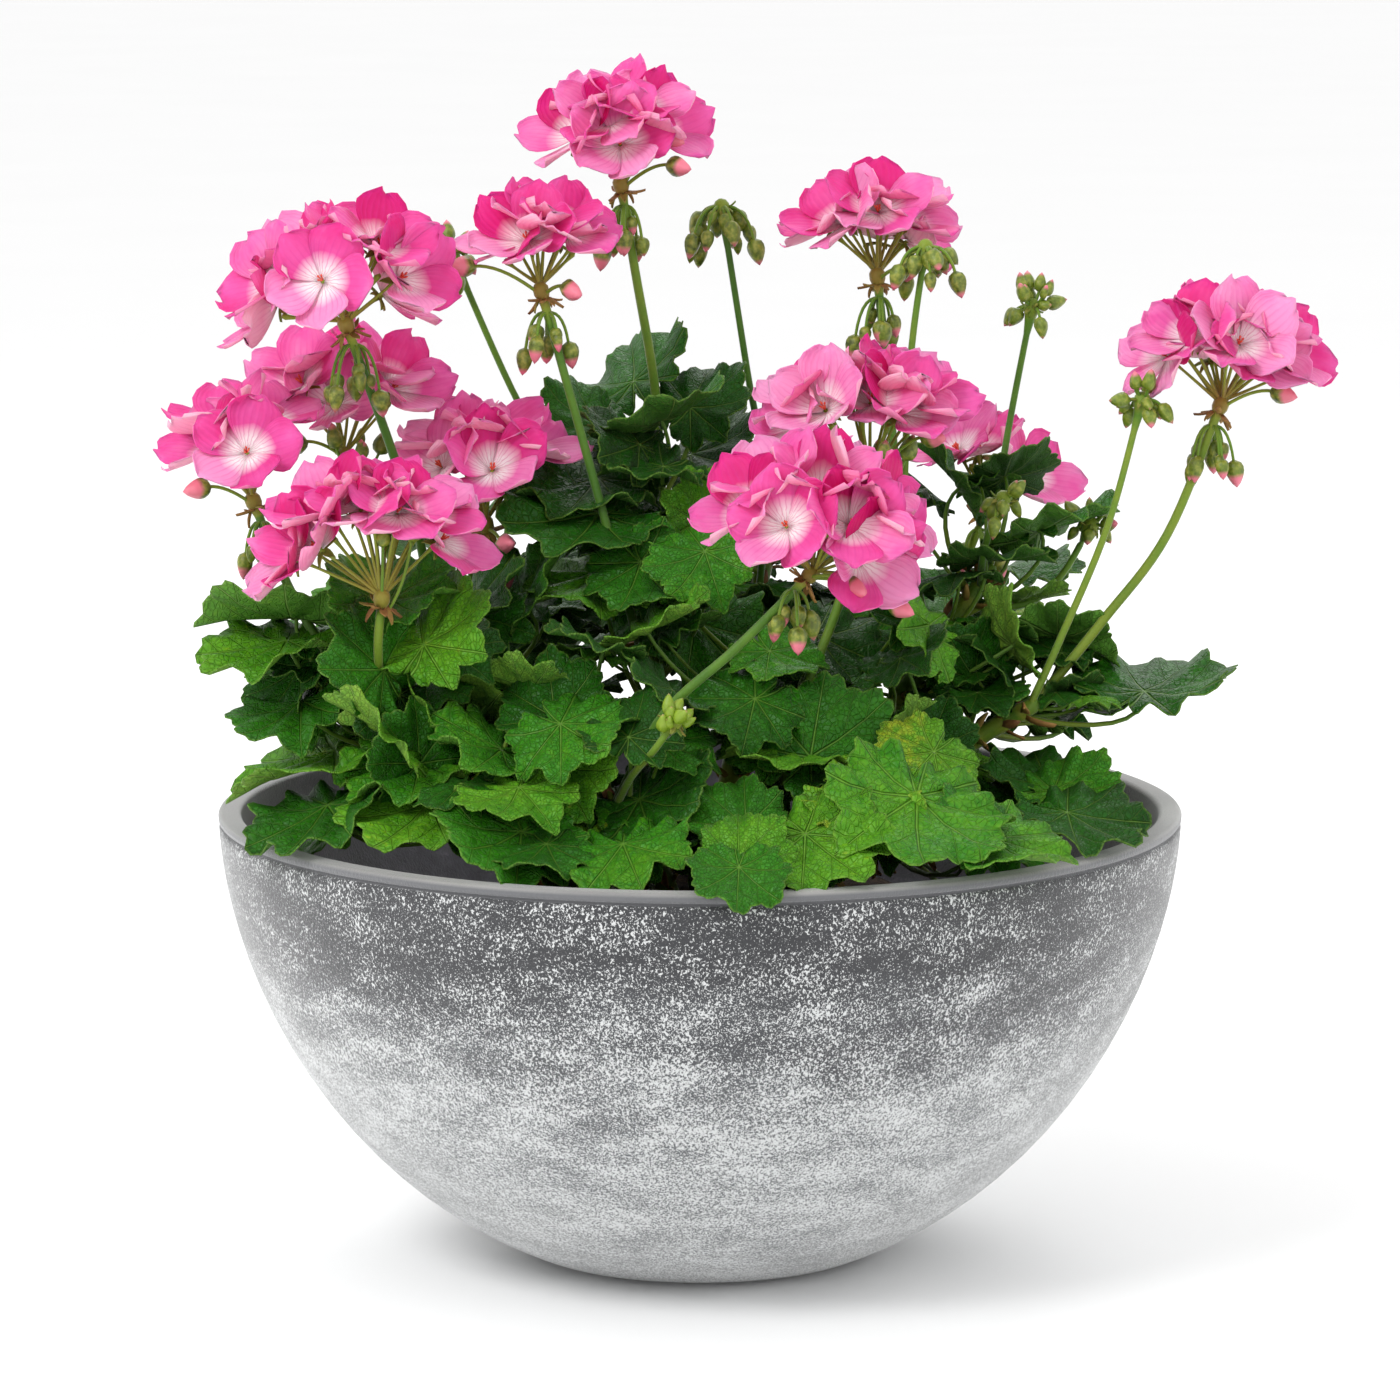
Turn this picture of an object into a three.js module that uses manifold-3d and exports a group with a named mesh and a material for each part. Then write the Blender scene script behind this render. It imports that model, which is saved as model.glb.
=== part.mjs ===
// A potted geranium: a bushy pelargonium with pink flower umbels in a wide, round-bottomed clay bowl.
// Millimetres, +Z up. The origin is the centre of the bowl's foot, on the surface that it stands on.
// The plant faces the viewer along +Y, with +X to the right.

import * as THREE from "three";
import { mergeVertices } from "three/addons/utils/BufferGeometryUtils.js";
import Module from "manifold-3d";

const wasm = await Module();
wasm.setup();

// Driving dimensions of the bowl
const bowlWidth = 400;
const bowlHeight = 188;
const bowlDepth = 200;
const bowlSag = 1.8;
const bowlRoundness = 2.08;
const bowlWall = 9.5;
const bowlFloor = 12;
const footWidth = 100;
const footHeight = 2.2;
const rimBandHeight = 4;
const bowlSides = 28;

// Driving dimensions of the soil
const soilEdgeHeight = 126;
const soilMoundHeight = 158;
const soilMoundWidth = 150;
const soilShrinkage = 0.8;
const soilSides = bowlSides / 2;

// Driving dimensions of the plant
const branchRadii = [5, 4.6, 4.2, 3.2];
const leafStemRadii = [1.1, 0.7];
const stalkRadii = [2.2, 2.1, 2.0, 1.9];
const flowerStemRadii = [0.9, 0.6];
const umbelHubRadius = 5;
const budHubRadius = 4;
const bladeThickness = 0.8;
const leafRimPoints = 10;
const leafLean = 1.1;
const leafSpread = 1.12;
const leafEntry = 6.5;
const petalsPerFlower = 5;
const flowerLean = 16;
const petalReach = 21;
const petalNotch = 0.8;
const flowerEntry = 6;
const budLength = 9.5;
const budWidth = 5.8;
const clearance = 0.35;

const goldenAngle = Math.PI * (3 - Math.sqrt(5));
const mostTrimmed = 11;
const up = new THREE.Vector3(0, 0, 1);

// Leafy shoots. Each has a spine from under the soil to its growing tip, then its leaves from low to high.
// A leaf is the point where its stem meets the blade, and the point of its middle lobe.
// A wild group grows at the golden angle instead: how many leaves, and a seed for its small differences.
const shoots = [
  {
    name: "shoot_right",
    spine: [[28, -8, 138], [60, -14, 178], [98, -24, 210], [137, -30, 235]],
    leaves: [
      [[111, -150, 202], [98, -138, 217]],
      [[114, -150, 201], [132, -176, 191]],
      [[80, -80, 231], [86, -88, 246]],
      [[92, -62, 220], [100, -55, 240]],
      [[147, -98, 202], [171, -118, 194]],
      [[142, -60, 206], [122, -46, 221]],
      [[143, -70, 206], [168, -76, 207]],
      [[114, -30, 240], [133, -36, 239]],
      [[113, -20, 244], [117, -12, 266]],
      [[156, 10, 229], [187, 2, 228]],
      [[150, -10, 236], [164, -20, 244]],
      [[183, -20, 239], [204, 12, 245]],
      [[150, 0, 252], [126, 4, 257]],
    ],
  },
  {
    name: "shoot_left_front",
    spine: [[-30, -14, 138], [-66, -36, 180], [-104, -52, 216], [-143, -60, 248]],
    leaves: [
      [[-112, -90, 222], [-136, -112, 216]],
      [[-112, -100, 222], [-127, -108, 241]],
      [[-148, -60, 221], [-176, -94, 210]],
      [[-123, -108, 235], [-139, -124, 253]],
      [[-104, -80, 234], [-120, -96, 250]],
      [[-161, -66, 242], [-181, -84, 230]],
      [[-163, -50, 254], [-176, -60, 233]],
      [[-167, -60, 266], [-196, -80, 258]],
      [[-126, -100, 260], [-144, -108, 281]],
      [[-164, -50, 274], [-192, -75, 282]],
      [[-129, -80, 285], [-150, -84, 298]],
    ],
  },
  {
    name: "shoot_left_back",
    spine: [[-34, 8, 138], [-66, 10, 188], [-98, 14, 232], [-126, 20, 263]],
    leaves: [
      [[-104, -50, 240], [-100, -72, 258]],
      [[-89, -58, 234], [-101, -78, 256]],
      [[-110, -98, 270], [-96, -82, 294]],
      [[-74, -30, 276], [-58, -40, 296]],
      [[-94, -40, 276], [-74, -52, 295]],
      [[-124, -86, 286], [-104, -78, 302]],
      [[-150, 30, 250], [-182, 44, 250]],
      [[-130, 52, 268], [-150, 82, 272]],
    ],
  },
  {
    name: "shoot_centre_tall",
    spine: [[-8, 14, 138], [-16, 22, 203], [-20, 30, 268], [-17, 40, 329]],
    leaves: [
      [[-41, -30, 290], [-62, -52, 280]],
      [[-24, -46, 296], [-10, -68, 280]],
      [[2, -58, 302], [-10, -74, 286]],
      [[-41, -20, 313], [-78, -38, 310]],
      [[0, -10, 308], [-5, -16, 329]],
      [[-42, 0, 325], [-76, -18, 323]],
      [[-15, -10, 331], [-34, -28, 328]],
      [[-4, 60, 328], [24, 54, 339]],
      [[-25, 0, 339], [-48, -10, 350]],
      [[-42, 30, 344], [-65, 34, 354]],
      [[-4, 40, 350], [17, 46, 365]],
      [[-16, 10, 348], [-10, -22, 358]],
      [[-28, 60, 359], [-30, 92, 372]],
    ],
  },
  {
    name: "shoot_front_low",
    spine: [[-8, -28, 138], [-16, -56, 168], [-26, -86, 190], [-34, -110, 205]],
    leaves: [
      [[-30, -158, 200], [-24, -188, 193]],
      [[-24, -120, 211], [0, -142, 210]],
      [[-57, -120, 225], [-33, -136, 224]],
      [[-55, -124, 242], [-36, -146, 235]],
      [[-58, -108, 242], [-60, -88, 260]],
      [[-28, -138, 239], [-22, -118, 252]],
      [[-11, -100, 252], [-26, -118, 260]],
      [[-38, -88, 268], [-52, -106, 276]],
    ],
  },
  {
    name: "shoot_centre",
    spine: [[14, -18, 138], [24, -34, 178], [34, -50, 214], [41, -60, 242]],
    leaves: [
      [[18, -146, 205], [2, -136, 219]],
      [[40, -98, 229], [20, -122, 224]],
      [[44, -108, 226], [72, -92, 242]],
      [[22, -98, 248], [0, -112, 239]],
      [[28, -76, 264], [42, -92, 254]],
      [[61, -40, 244], [84, -50, 255]],
      [[-22, -78, 273], [-4, -98, 283]],
      [[48, -16, 262], [66, -36, 244]],
      [[-2, -8, 266], [18, -30, 250]],
      [[-14, -14, 290], [4, -36, 276]],
    ],
  },
  {
    name: "shoot_right_back",
    spine: [[24, 10, 138], [58, 12, 193], [92, 16, 242], [121, 20, 284]],
    leaves: [
      [[81, -68, 260], [99, -80, 269]],
      [[93, -58, 272], [74, -74, 293]],
      [[129, -20, 258], [122, -34, 278]],
      [[150, 12, 257], [165, -8, 265]],
      [[130, 30, 269], [152, 20, 275]],
      [[119, 10, 290], [140, -8, 296]],
      [[142, 20, 301], [168, 8, 317]],
      [[109, 28, 318], [96, 14, 334]],
      [[128, 40, 321], [144, 30, 334]],
    ],
  },
  {
    name: "shoot_back",
    spine: [[4, 34, 138], [14, 62, 193], [22, 92, 244], [30, 120, 288]],
    wild: { count: 6, seed: 811 },
  },
  {
    name: "shoot_back_left",
    spine: [[-24, 30, 138], [-54, 58, 182], [-84, 86, 224], [-110, 110, 258]],
    wild: { count: 6, seed: 907 },
  },
  {
    name: "shoot_back_right",
    spine: [[28, 30, 138], [56, 58, 180], [86, 90, 220], [115, 120, 253]],
    wild: { count: 6, seed: 1013 },
  },
  {
    name: "shoot_right_low",
    spine: [[20, -30, 138], [44, -64, 166], [68, -98, 186], [90, -126, 200]],
    leaves: [
      [[15, -176, 197], [30, -166, 210]],
      [[15, -192, 197], [14, -211, 184]],
      [[41, -164, 205], [62, -188, 194]],
      [[59, -140, 219], [84, -155, 213]],
      [[85, -148, 217], [84, -184, 194]],
      [[93, -108, 228], [79, -128, 217]],
    ],
  },
  {
    name: "shoot_left_low",
    spine: [[-22, -30, 138], [-46, -62, 168], [-70, -92, 192], [-91, -118, 210]],
    leaves: [
      [[-60, -158, 200], [-71, -180, 194]],
      [[-70, -148, 203], [-94, -172, 195]],
      [[-71, -138, 219], [-78, -164, 211]],
      [[-107, -108, 208], [-126, -138, 195]],
      [[-149, -98, 205], [-163, -128, 193]],
      [[-79, -108, 229], [-101, -124, 239]],
      [[-68, -88, 251], [-76, -104, 263]],
    ],
  },
];

// Flower stems. Each has a stalk from its shoot to the hub of its umbel. Its open flowers are places
// relative to the hub, and its buds hang from the hub: how many, how far out and how far down.
const flowerStems = [
  {
    name: "high_left",
    stalk: [[-118, 10, 260], [-113, -14, 288], [-123, -35, 333], [-143, -50, 394]],
    flowers: [
      [-9, -30, 22], [16, -6, 36], [2, 6, 38], [-34, -8, 20],
      [-22, 8, 34], [-36, 6, 9], [27, -8, 22], [20, 14, 14],
    ],
    buds: { count: 3, reach: [8, 14], drop: [12, 20] },
  },
  {
    name: "left_behind",
    stalk: [[-120, 20, 264], [-128, 17, 288], [-138, 13, 310], [-147, 10, 334]],
    flowers: [[-21, -6, 35], [-5, -10, 27], [15, 6, 40], [24, -4, 33], [-12, 8, 42]],
    buds: { count: 2, reach: [10, 14], drop: [-14, -8] },
  },
  {
    name: "far_left",
    stalk: [[-145, -58, 252], [-158, -53, 270], [-170, -46, 292], [-182, -40, 321]],
    flowers: [[-1, -22, 25], [-20, 2, 25], [8, 10, 38], [-14, 8, 36]],
    buds: { count: 3, reach: [7, 13], drop: [10, 17] },
  },
  {
    name: "front_left",
    stalk: [[-120, -62, 234], [-127, -84, 246], [-128, -104, 268], [-126, -110, 291]],
    flowers: [
      [-9, -10, 42], [8, -12, 39], [-24, -2, 38], [20, 0, 38], [-30, -8, 24],
      [28, 4, 26], [-40, 0, 17], [-5, 12, 44], [12, 14, 42],
    ],
    buds: { count: 1, reach: [16, 18], drop: [-34, -30] },
  },
  {
    name: "left_middle",
    stalk: [[-84, 12, 220], [-86, 2, 250], [-84, -10, 284], [-88, -20, 309]],
    flowers: [[4, -16, 28], [-22, -4, 28], [-16, 6, 37], [3, 8, 41], [20, 8, 35]],
    buds: { count: 1, reach: [7, 8], drop: [8, 9] },
  },
  {
    name: "high_middle_left",
    stalk: [[-22, 22, 240], [-30, -26, 278], [-45, -25, 333], [-65, -20, 405]],
    flowers: [[-7, -8, 26], [2, 4, 31], [13, 1, 28], [-14, 4, 23], [10, 12, 26]],
    buds: { count: 3, reach: [8, 14], drop: [8, 17] },
  },
  {
    name: "top",
    stalk: [[-17, 38, 326], [-19, 36, 360], [-27, 32, 408], [-33, 30, 445]],
    flowers: [[-21, -4, 23], [-6, -9, 30], [8, -2, 36], [19, 0, 27], [-9, 9, 38], [0, -16, 20]],
    buds: { count: 3, reach: [6, 12], drop: [8, 18] },
  },
  {
    name: "high_right",
    stalk: [[96, 16, 250], [83, 30, 318], [78, 38, 368], [74, 40, 406]],
    flowers: [
      [0, -9, 31], [-17, -6, 27], [-24, 8, 27], [17, 4, 27],
      [10, 10, 35], [2, 15, 21], [19, 12, 18],
    ],
    buds: { count: 3, reach: [8, 14], drop: [8, 17] },
  },
  {
    name: "far_right",
    stalk: [[139, -17, 234], [166, -8, 266], [193, -4, 302], [215, 0, 356]],
    flowers: [
      [-27, -4, 23], [-16, -10, 33], [7, -18, 31], [-6, 8, 26],
      [2, 8, 42], [21, 6, 36], [30, -4, 24], [15, -12, 25],
    ],
    buds: { count: 4, reach: [7, 14], drop: [9, 18] },
  },
  {
    name: "right_middle",
    stalk: [[42, -60, 245], [55, -52, 276], [64, -44, 306], [69, -40, 330]],
    flowers: [
      [-21, -16, 33], [0, -8, 38], [15, -10, 33], [-30, 6, 38],
      [-8, 10, 42], [11, 8, 41], [24, 2, 36], [-36, -2, 24],
    ],
    buds: { count: 1, reach: [20, 21], drop: [-18, -17] },
  },
  {
    name: "front_right",
    stalk: [[-33, -112, 209], [-14, -137, 248], [14, -137, 274], [44, -130, 303]],
    flowers: [
      [-12, -26, 24], [17, -24, 25], [-30, -6, 29], [22, -20, 9],
      [33, -4, 26], [-18, 0, 40], [4, -6, 40], [22, 2, 37],
    ],
    buds: { count: 3, reach: [6, 16], drop: [8, 14] },
  },
  {
    name: "right_behind",
    stalk: [[102, 106, 238], [106, 100, 256], [114, 95, 278], [123, 90, 301]],
    flowers: [[-15, 4, 30], [20, -4, 18], [-4, 9, 31]],
    buds: { count: 2, reach: [7, 12], drop: [7, 12] },
  },
  {
    name: "bud_high_left",
    stalk: [[-19, 34, 286], [-52, 50, 314], [-76, 58, 349], [-105, 60, 414]],
    buds: { count: 5, reach: [6, 13], drop: [-6, 11] },
  },
  {
    name: "bud_high_middle",
    stalk: [[24, 92, 250], [28, 68, 313], [20, 61, 363], [9, 60, 433]],
    buds: { count: 6, reach: [9, 18], drop: [2, 18] },
  },
  {
    name: "bud_high_right",
    stalk: [[80, 14, 228], [84, 6, 308], [87, 8, 373], [93, 10, 420]],
    buds: { count: 5, reach: [8, 17], drop: [0, 15] },
  },
  {
    name: "bud_right_back",
    stalk: [[121, 21, 286], [125, 44, 310], [131, 56, 344], [140, 60, 391]],
    buds: { count: 5, reach: [8, 12], drop: [-7, 6] },
  },
  {
    name: "bud_right_tall",
    stalk: [[136, -31, 236], [148, -27, 262], [167, -24, 308], [181, -20, 360]],
    buds: { count: 5, reach: [7, 13], drop: [-6, 6] },
  },
  {
    name: "bud_right_short",
    stalk: [[110, 18, 268], [136, 25, 269], [151, 29, 280], [164, 30, 302]],
    buds: { count: 4, reach: [7, 11], drop: [-6, 3] },
  },
  {
    name: "bud_right_hidden",
    stalk: [[117, 14, 279], [117, 0, 291], [120, -7, 306], [125, -10, 318]],
    buds: { count: 3, reach: [6, 11], drop: [-4, 10] },
  },
  {
    name: "bud_front",
    stalk: [[-34, -112, 206], [-27, -130, 222], [-18, -146, 235], [-10, -150, 247]],
    buds: { count: 4, reach: [4, 7], drop: [-4, 4] },
  },
  {
    name: "bud_nodding",
    stalk: [[-114, 16, 250], [-96, 2, 278], [-96, -2, 306], [-105, 0, 320]],
    buds: { count: 3, reach: [4, 8], drop: [2, 8] },
  },
];

// Colours and finishes
function finish(color, roughness) {
  return new THREE.MeshStandardMaterial({ color, roughness, metalness: 0 });
}
const claySurface = finish("#5a5a5c", 0.85);
const soilSurface = finish("#4a3526", 1);
const leafSurface = finish("#3c7a2c", 0.6);
const stalkSurface = finish("#6f8f34", 0.6);
const petalSurface = finish("#ee5fae", 0.55);

// A stream of repeatable draws between 0 and 1
function seededDraws(seed) {
  let state = seed * 7919;
  return () => {
    state = (state * 16807) % 2147483647;
    return state / 2147483647;
  };
}

function between(low, high, share) {
  return low + (high - low) * share;
}

function points(rows) {
  return rows.map((row) => new THREE.Vector3(...row));
}

// A closed geometry as a solid that can be joined and cut
function solidFrom(geometry) {
  const bare = geometry.clone();
  bare.deleteAttribute("normal");
  bare.deleteAttribute("uv");
  const merged = mergeVertices(bare, 1e-4);
  const corners = merged.index.array;
  const faces = [];
  for (let i = 0; i < corners.length; i += 3) {
    const [a, b, c] = [corners[i], corners[i + 1], corners[i + 2]];
    if (a !== b && b !== c && c !== a) {
      faces.push(a, b, c);
    }
  }
  const mesh = new wasm.Mesh({
    numProp: 3,
    vertProperties: merged.attributes.position.array,
    triVerts: new Uint32Array(faces),
  });
  return new wasm.Manifold(mesh);
}

function touches(one, other) {
  const [a, b] = [one.boundingBox(), other.boundingBox()];
  const near = [0, 1, 2].every((axis) => a.min[axis] < b.max[axis] && b.min[axis] < a.max[axis]);
  return near && !one.intersect(other).isEmpty();
}

function joined(solids) {
  return solids.reduce((sum, solid) => sum.add(solid));
}

function cutBy(solid, cutters) {
  const touching = cutters.filter((cutter) => touches(solid, cutter));
  return touching.length ? solid.subtract(joined(touching)) : solid;
}

// The largest body of a solid; scraps that a cut has loosened fall away
function mainBody(solid) {
  const bodies = solid.decompose();
  return bodies.reduce((most, body) => (body.volume() > most.volume() ? body : most));
}

function meshOf(name, solid, surface, origin) {
  const { vertProperties, triVerts } = solid.getMesh();
  const geometry = new THREE.BufferGeometry();
  geometry.setAttribute("position", new THREE.BufferAttribute(vertProperties, 3));
  geometry.setIndex(new THREE.BufferAttribute(triVerts, 1));
  geometry.translate(-origin.x, -origin.y, -origin.z);
  const mesh = new THREE.Mesh(geometry, surface);
  mesh.name = name;
  mesh.position.copy(origin);
  return mesh;
}

// A stem along a curve, drawn with a few flat sides and one radius for each of its rings
function stem(curve, radii, sides, grow) {
  const corners = [];
  for (let i = 0; i < sides; i += 1) {
    const turn = (2 * Math.PI * i) / sides;
    corners.push(new THREE.Vector2(Math.cos(turn), Math.sin(turn)));
  }
  const steps = radii.length - 1;
  const section = new THREE.Shape(corners);
  const tube = new THREE.ExtrudeGeometry(section, { steps, bevelEnabled: false, extrudePath: curve });
  const rings = curve.getSpacedPoints(steps);
  const position = tube.attributes.position;
  for (let i = 0; i < position.count; i += 1) {
    const point = new THREE.Vector3().fromBufferAttribute(position, i);
    const gaps = rings.map((ring) => Math.abs(ring.distanceTo(point) - 1));
    const ring = gaps.indexOf(Math.min(...gaps));
    point.sub(rings[ring]).multiplyScalar(radii[ring] + grow).add(rings[ring]);
    position.setXYZ(i, point.x, point.y, point.z);
  }
  return solidFrom(tube);
}

function ball(centre, radius) {
  const shape = new THREE.OctahedronGeometry(radius, 0);
  shape.translate(centre.x, centre.y, centre.z);
  return solidFrom(shape);
}

// A blade is a thin fan with a middle, a rim and the way it faces. Its solid is a flat disc with moved corners.
function bladeSolid(blade, grow) {
  const { middle, facing, rim } = blade;
  const disc = new THREE.CylinderGeometry(1, 1, 1, rim.length, 1);
  const position = disc.attributes.position;
  for (let i = 0; i < position.count; i += 1) {
    const x = position.getX(i);
    const z = position.getZ(i);
    const point = middle.clone();
    if (Math.hypot(x, z) > 0.5) {
      const turn = Math.atan2(x, z) / (2 * Math.PI);
      const spoke = rim[Math.round((turn + 1) * rim.length) % rim.length].clone().sub(middle);
      point.addScaledVector(spoke, 1 + grow / spoke.length());
    }
    point.addScaledVector(facing, Math.sign(position.getY(i)) * (bladeThickness / 2 + grow));
    position.setXYZ(i, point.x, point.y, point.z);
  }
  return solidFrom(disc);
}

// How much of each spoke of a blade stays on the near side of a plane that is this far from its middle
function spokeShares(blade, normal, room) {
  return blade.rim.map((point) => {
    const far = point.clone().sub(blade.middle).dot(normal);
    return far > room ? room / far : 1;
  });
}

function shorten(blade, shares) {
  blade.rim.forEach((point, i) => {
    point.sub(blade.middle).multiplyScalar(shares[i]).add(blade.middle);
  });
}

// Two blades that would cross both end at a plane midway between them, the one that takes least from them
function keepApart(one, other) {
  const apart = other.middle.clone().sub(one.middle);
  const ways = [apart, one.facing, other.facing, one.facing.clone().add(other.facing), up];
  ways.push(apart.clone().normalize().add(one.facing), apart.clone().normalize().sub(one.facing));
  let least = mostTrimmed;
  let chosen = null;
  for (const way of ways) {
    const normal = way.clone().normalize();
    normal.multiplyScalar(Math.sign(normal.dot(apart)));
    const room = (normal.dot(apart) - bladeThickness - clearance) / 2;
    if (room > 1) {
      const mine = spokeShares(one, normal, room);
      const theirs = spokeShares(other, normal.clone().negate(), room);
      const loss = [...mine, ...theirs].reduce((sum, share) => sum + 1 - share, 0);
      if (loss < least) {
        least = loss;
        chosen = [mine, theirs];
      }
    }
  }
  if (chosen) {
    shorten(one, chosen[0]);
    shorten(other, chosen[1]);
  }
}

// The place on the underside of a blade where its stem enters, inside one sector of the fan
function entries(blade, distance) {
  const sectors = blade.rim.map((point, i) => {
    const first = point.clone().sub(blade.middle);
    const second = blade.rim[(i + 1) % blade.rim.length].clone().sub(blade.middle);
    const room = Math.min(first.length(), second.length());
    const toward = first.normalize().add(second.normalize()).normalize();
    return { room, place: blade.middle.clone().addScaledVector(toward, distance) };
  });
  sectors.sort((a, b) => b.room - a.room);
  return sectors.slice(0, 4).map((sector) => sector.place);
}

// Of several stems, the one that touches the fewest other things
function clearest(stems, obstacles) {
  let fewest = Infinity;
  let chosen = null;
  for (const candidate of stems) {
    if (fewest > 0) {
      const met = obstacles.filter((obstacle) => touches(candidate.space, obstacle)).length;
      if (met < fewest) {
        fewest = met;
        chosen = candidate;
      }
    }
  }
  return chosen;
}

// Share of a leaf's reach at each rim point: five lobes, and a deep notch toward the leaf stem
function leafOutline(step) {
  const turn = (2 * Math.PI * step) / leafRimPoints;
  const lobe = step % 2 === 0 ? 1.06 : 0.86;
  const notched = step === leafRimPoints / 2;
  return notched ? 0.2 : (0.8 + 0.2 * Math.cos(turn)) * lobe;
}

// A leaf faces up and outward from the middle of the plant, as far as its own direction lets it
function leafBlade(row, draw) {
  const [joint, tip] = points(row);
  const cup = between(0.04, 0.16, draw());
  const wave = between(0.03, 0.08, draw());
  const phase = 2 * Math.PI * draw();
  const forward = tip.sub(joint);
  const reach = leafSpread * forward.length();
  forward.normalize();
  const outward = new THREE.Vector3(joint.x, joint.y - 70, 0).normalize();
  const facing = up.clone().addScaledVector(outward, leafLean);
  facing.addScaledVector(forward, -facing.dot(forward)).normalize();
  const side = facing.clone().cross(forward);
  const rim = [];
  for (let step = 0; step < leafRimPoints; step += 1) {
    const turn = (2 * Math.PI * step) / leafRimPoints;
    const share = leafOutline(step);
    const rise = cup * share * share + wave * Math.sin(3 * turn + phase);
    const point = joint.clone().addScaledVector(facing, reach * rise);
    point.addScaledVector(forward, reach * share * Math.cos(turn));
    rim.push(point.addScaledVector(side, reach * share * Math.sin(turn)));
  }
  return { middle: joint, facing, rim };
}

function spineOf(shoot) {
  return new THREE.CatmullRomCurve3(points(shoot.spine), false, "catmullrom", 0.5);
}

// A leaf stem leaves the branch and comes up under its blade, bowed to whichever side is clear
function leafStem(root, blade, obstacles) {
  const stems = [];
  for (const place of entries(blade, leafEntry)) {
    const length = root.distanceTo(place);
    for (const bow of [0, 0.2, -0.2, 0.4]) {
      const bend = place.clone().addScaledVector(blade.facing, -0.4 * length);
      bend.addScaledVector(blade.facing.clone().cross(up), bow * length);
      const curve = new THREE.QuadraticBezierCurve3(root, bend, place);
      const space = stem(curve, leafStemRadii, 3, clearance);
      stems.push({ curve, space });
    }
  }
  const { curve, space } = clearest(stems, obstacles);
  return { solid: stem(curve, leafStemRadii, 3, 0), space };
}

function wildLeaves(spine, wild) {
  const draw = seededDraws(wild.seed);
  const leaves = [];
  for (let i = 0; i < wild.count; i += 1) {
    const root = spine.getPoint(between(0.4, 1, i / (wild.count - 1)));
    const turn = goldenAngle * i + wild.seed;
    const climb = between(0.3, 0.8, draw());
    const stemLength = between(30, 46, draw());
    const reach = between(27, 37, draw());
    const out = new THREE.Vector3(Math.cos(turn), Math.sin(turn), 0);
    const joint = root.clone().addScaledVector(out, stemLength * Math.cos(climb));
    joint.z += stemLength * Math.sin(climb);
    const tip = joint.clone().addScaledVector(out, reach);
    tip.z -= reach * between(0.05, 0.35, draw());
    leaves.push([joint.toArray(), tip.toArray()]);
  }
  return leaves;
}

function branch(shoot, grow) {
  return stem(spineOf(shoot), branchRadii, 4, grow);
}

// The stalk of an umbel, which stops just under the hub of the flowers
function stalkTube(plan, grow) {
  const path = points(plan.stalk);
  const hub = path[path.length - 1];
  const below = path[path.length - 2].clone().sub(hub).normalize();
  if (plan.flowers) {
    hub.addScaledVector(below, umbelHubRadius + clearance);
  }
  const curve = new THREE.CatmullRomCurve3(path, false, "catmullrom", 0.5);
  return stem(curve, stalkRadii, 4, grow);
}

// Buds on their own thin stems, which arch out from under the hub: the inner ones stand, the outer ones hang.
// A bud and its stem are one club: thin at the hub, as wide as the bud, and nearly a point.
function budCluster(plan, grow) {
  const { count, reach, drop } = plan.buds;
  const path = points(plan.stalk);
  const hub = path[path.length - 1];
  const below = path[path.length - 2].clone().sub(hub).normalize();
  const start = hub.clone().addScaledVector(below, plan.flowers ? umbelHubRadius + 5 : 0);
  const club = [0.9, budWidth / 2, 0.5];
  const pieces = [ball(start, budHubRadius + grow)];
  for (let i = 0; i < count; i += 1) {
    const share = (i + 0.5) / count;
    const turn = goldenAngle * i + hub.x;
    const far = between(reach[0], reach[1], share);
    const down = between(drop[0], drop[1], share);
    const out = new THREE.Vector3(Math.cos(turn), Math.sin(turn), 0);
    const end = start.clone().addScaledVector(out, far);
    end.z -= down;
    const shoulder = start.clone().addScaledVector(out, 0.8 * far);
    shoulder.z += down > 0 ? 3 : -0.3 * down;
    const root = start.clone().lerp(shoulder, (0.5 * budHubRadius) / start.distanceTo(shoulder));
    const point = end.clone().sub(shoulder).normalize();
    point.multiplyScalar(budLength).add(end);
    pieces.push(stem(new THREE.QuadraticBezierCurve3(root, shoulder, point), club, 3, grow));
  }
  return joined(pieces);
}

function stalk(plan, grow) {
  return stalkTube(plan, grow).add(budCluster(plan, grow));
}

// One open flower: five broad petals in one cupped blade, whose middle is the throat
function flowerBlade(hub, offset, draw) {
  const facing = new THREE.Vector3(offset.x, offset.y - flowerLean, 0.8 * offset.z).normalize();
  const cup = between(10, 14, draw());
  const spin = 2 * Math.PI * draw();
  const side = new THREE.Vector3(facing.z, 0, -facing.x);
  side.addScaledVector(facing, -side.dot(facing)).normalize();
  side.applyAxisAngle(facing, spin);
  const forward = side.clone().cross(facing);
  const middle = hub.clone().add(offset).addScaledVector(facing, -0.6 * cup);
  const rim = [];
  for (let step = 0; step < 2 * petalsPerFlower; step += 1) {
    const turn = (Math.PI * step) / petalsPerFlower;
    const share = step % 2 === 0 ? 1 : petalNotch;
    const point = middle.clone().addScaledVector(facing, cup * share * share);
    point.addScaledVector(forward, share * petalReach * Math.cos(turn));
    rim.push(point.addScaledVector(side, share * petalReach * Math.sin(turn)));
  }
  return { middle, facing, rim };
}

function flowerStem(hub, blade, obstacles) {
  const root = blade.middle.clone().sub(hub).setLength(0.6 * umbelHubRadius).add(hub);
  const stems = entries(blade, flowerEntry).map((place) => {
    const curve = new THREE.LineCurve3(root, place);
    return { curve, space: stem(curve, flowerStemRadii, 3, clearance) };
  });
  const { curve, space } = clearest(stems, obstacles);
  return { solid: stem(curve, flowerStemRadii, 3, 0), space };
}

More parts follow.
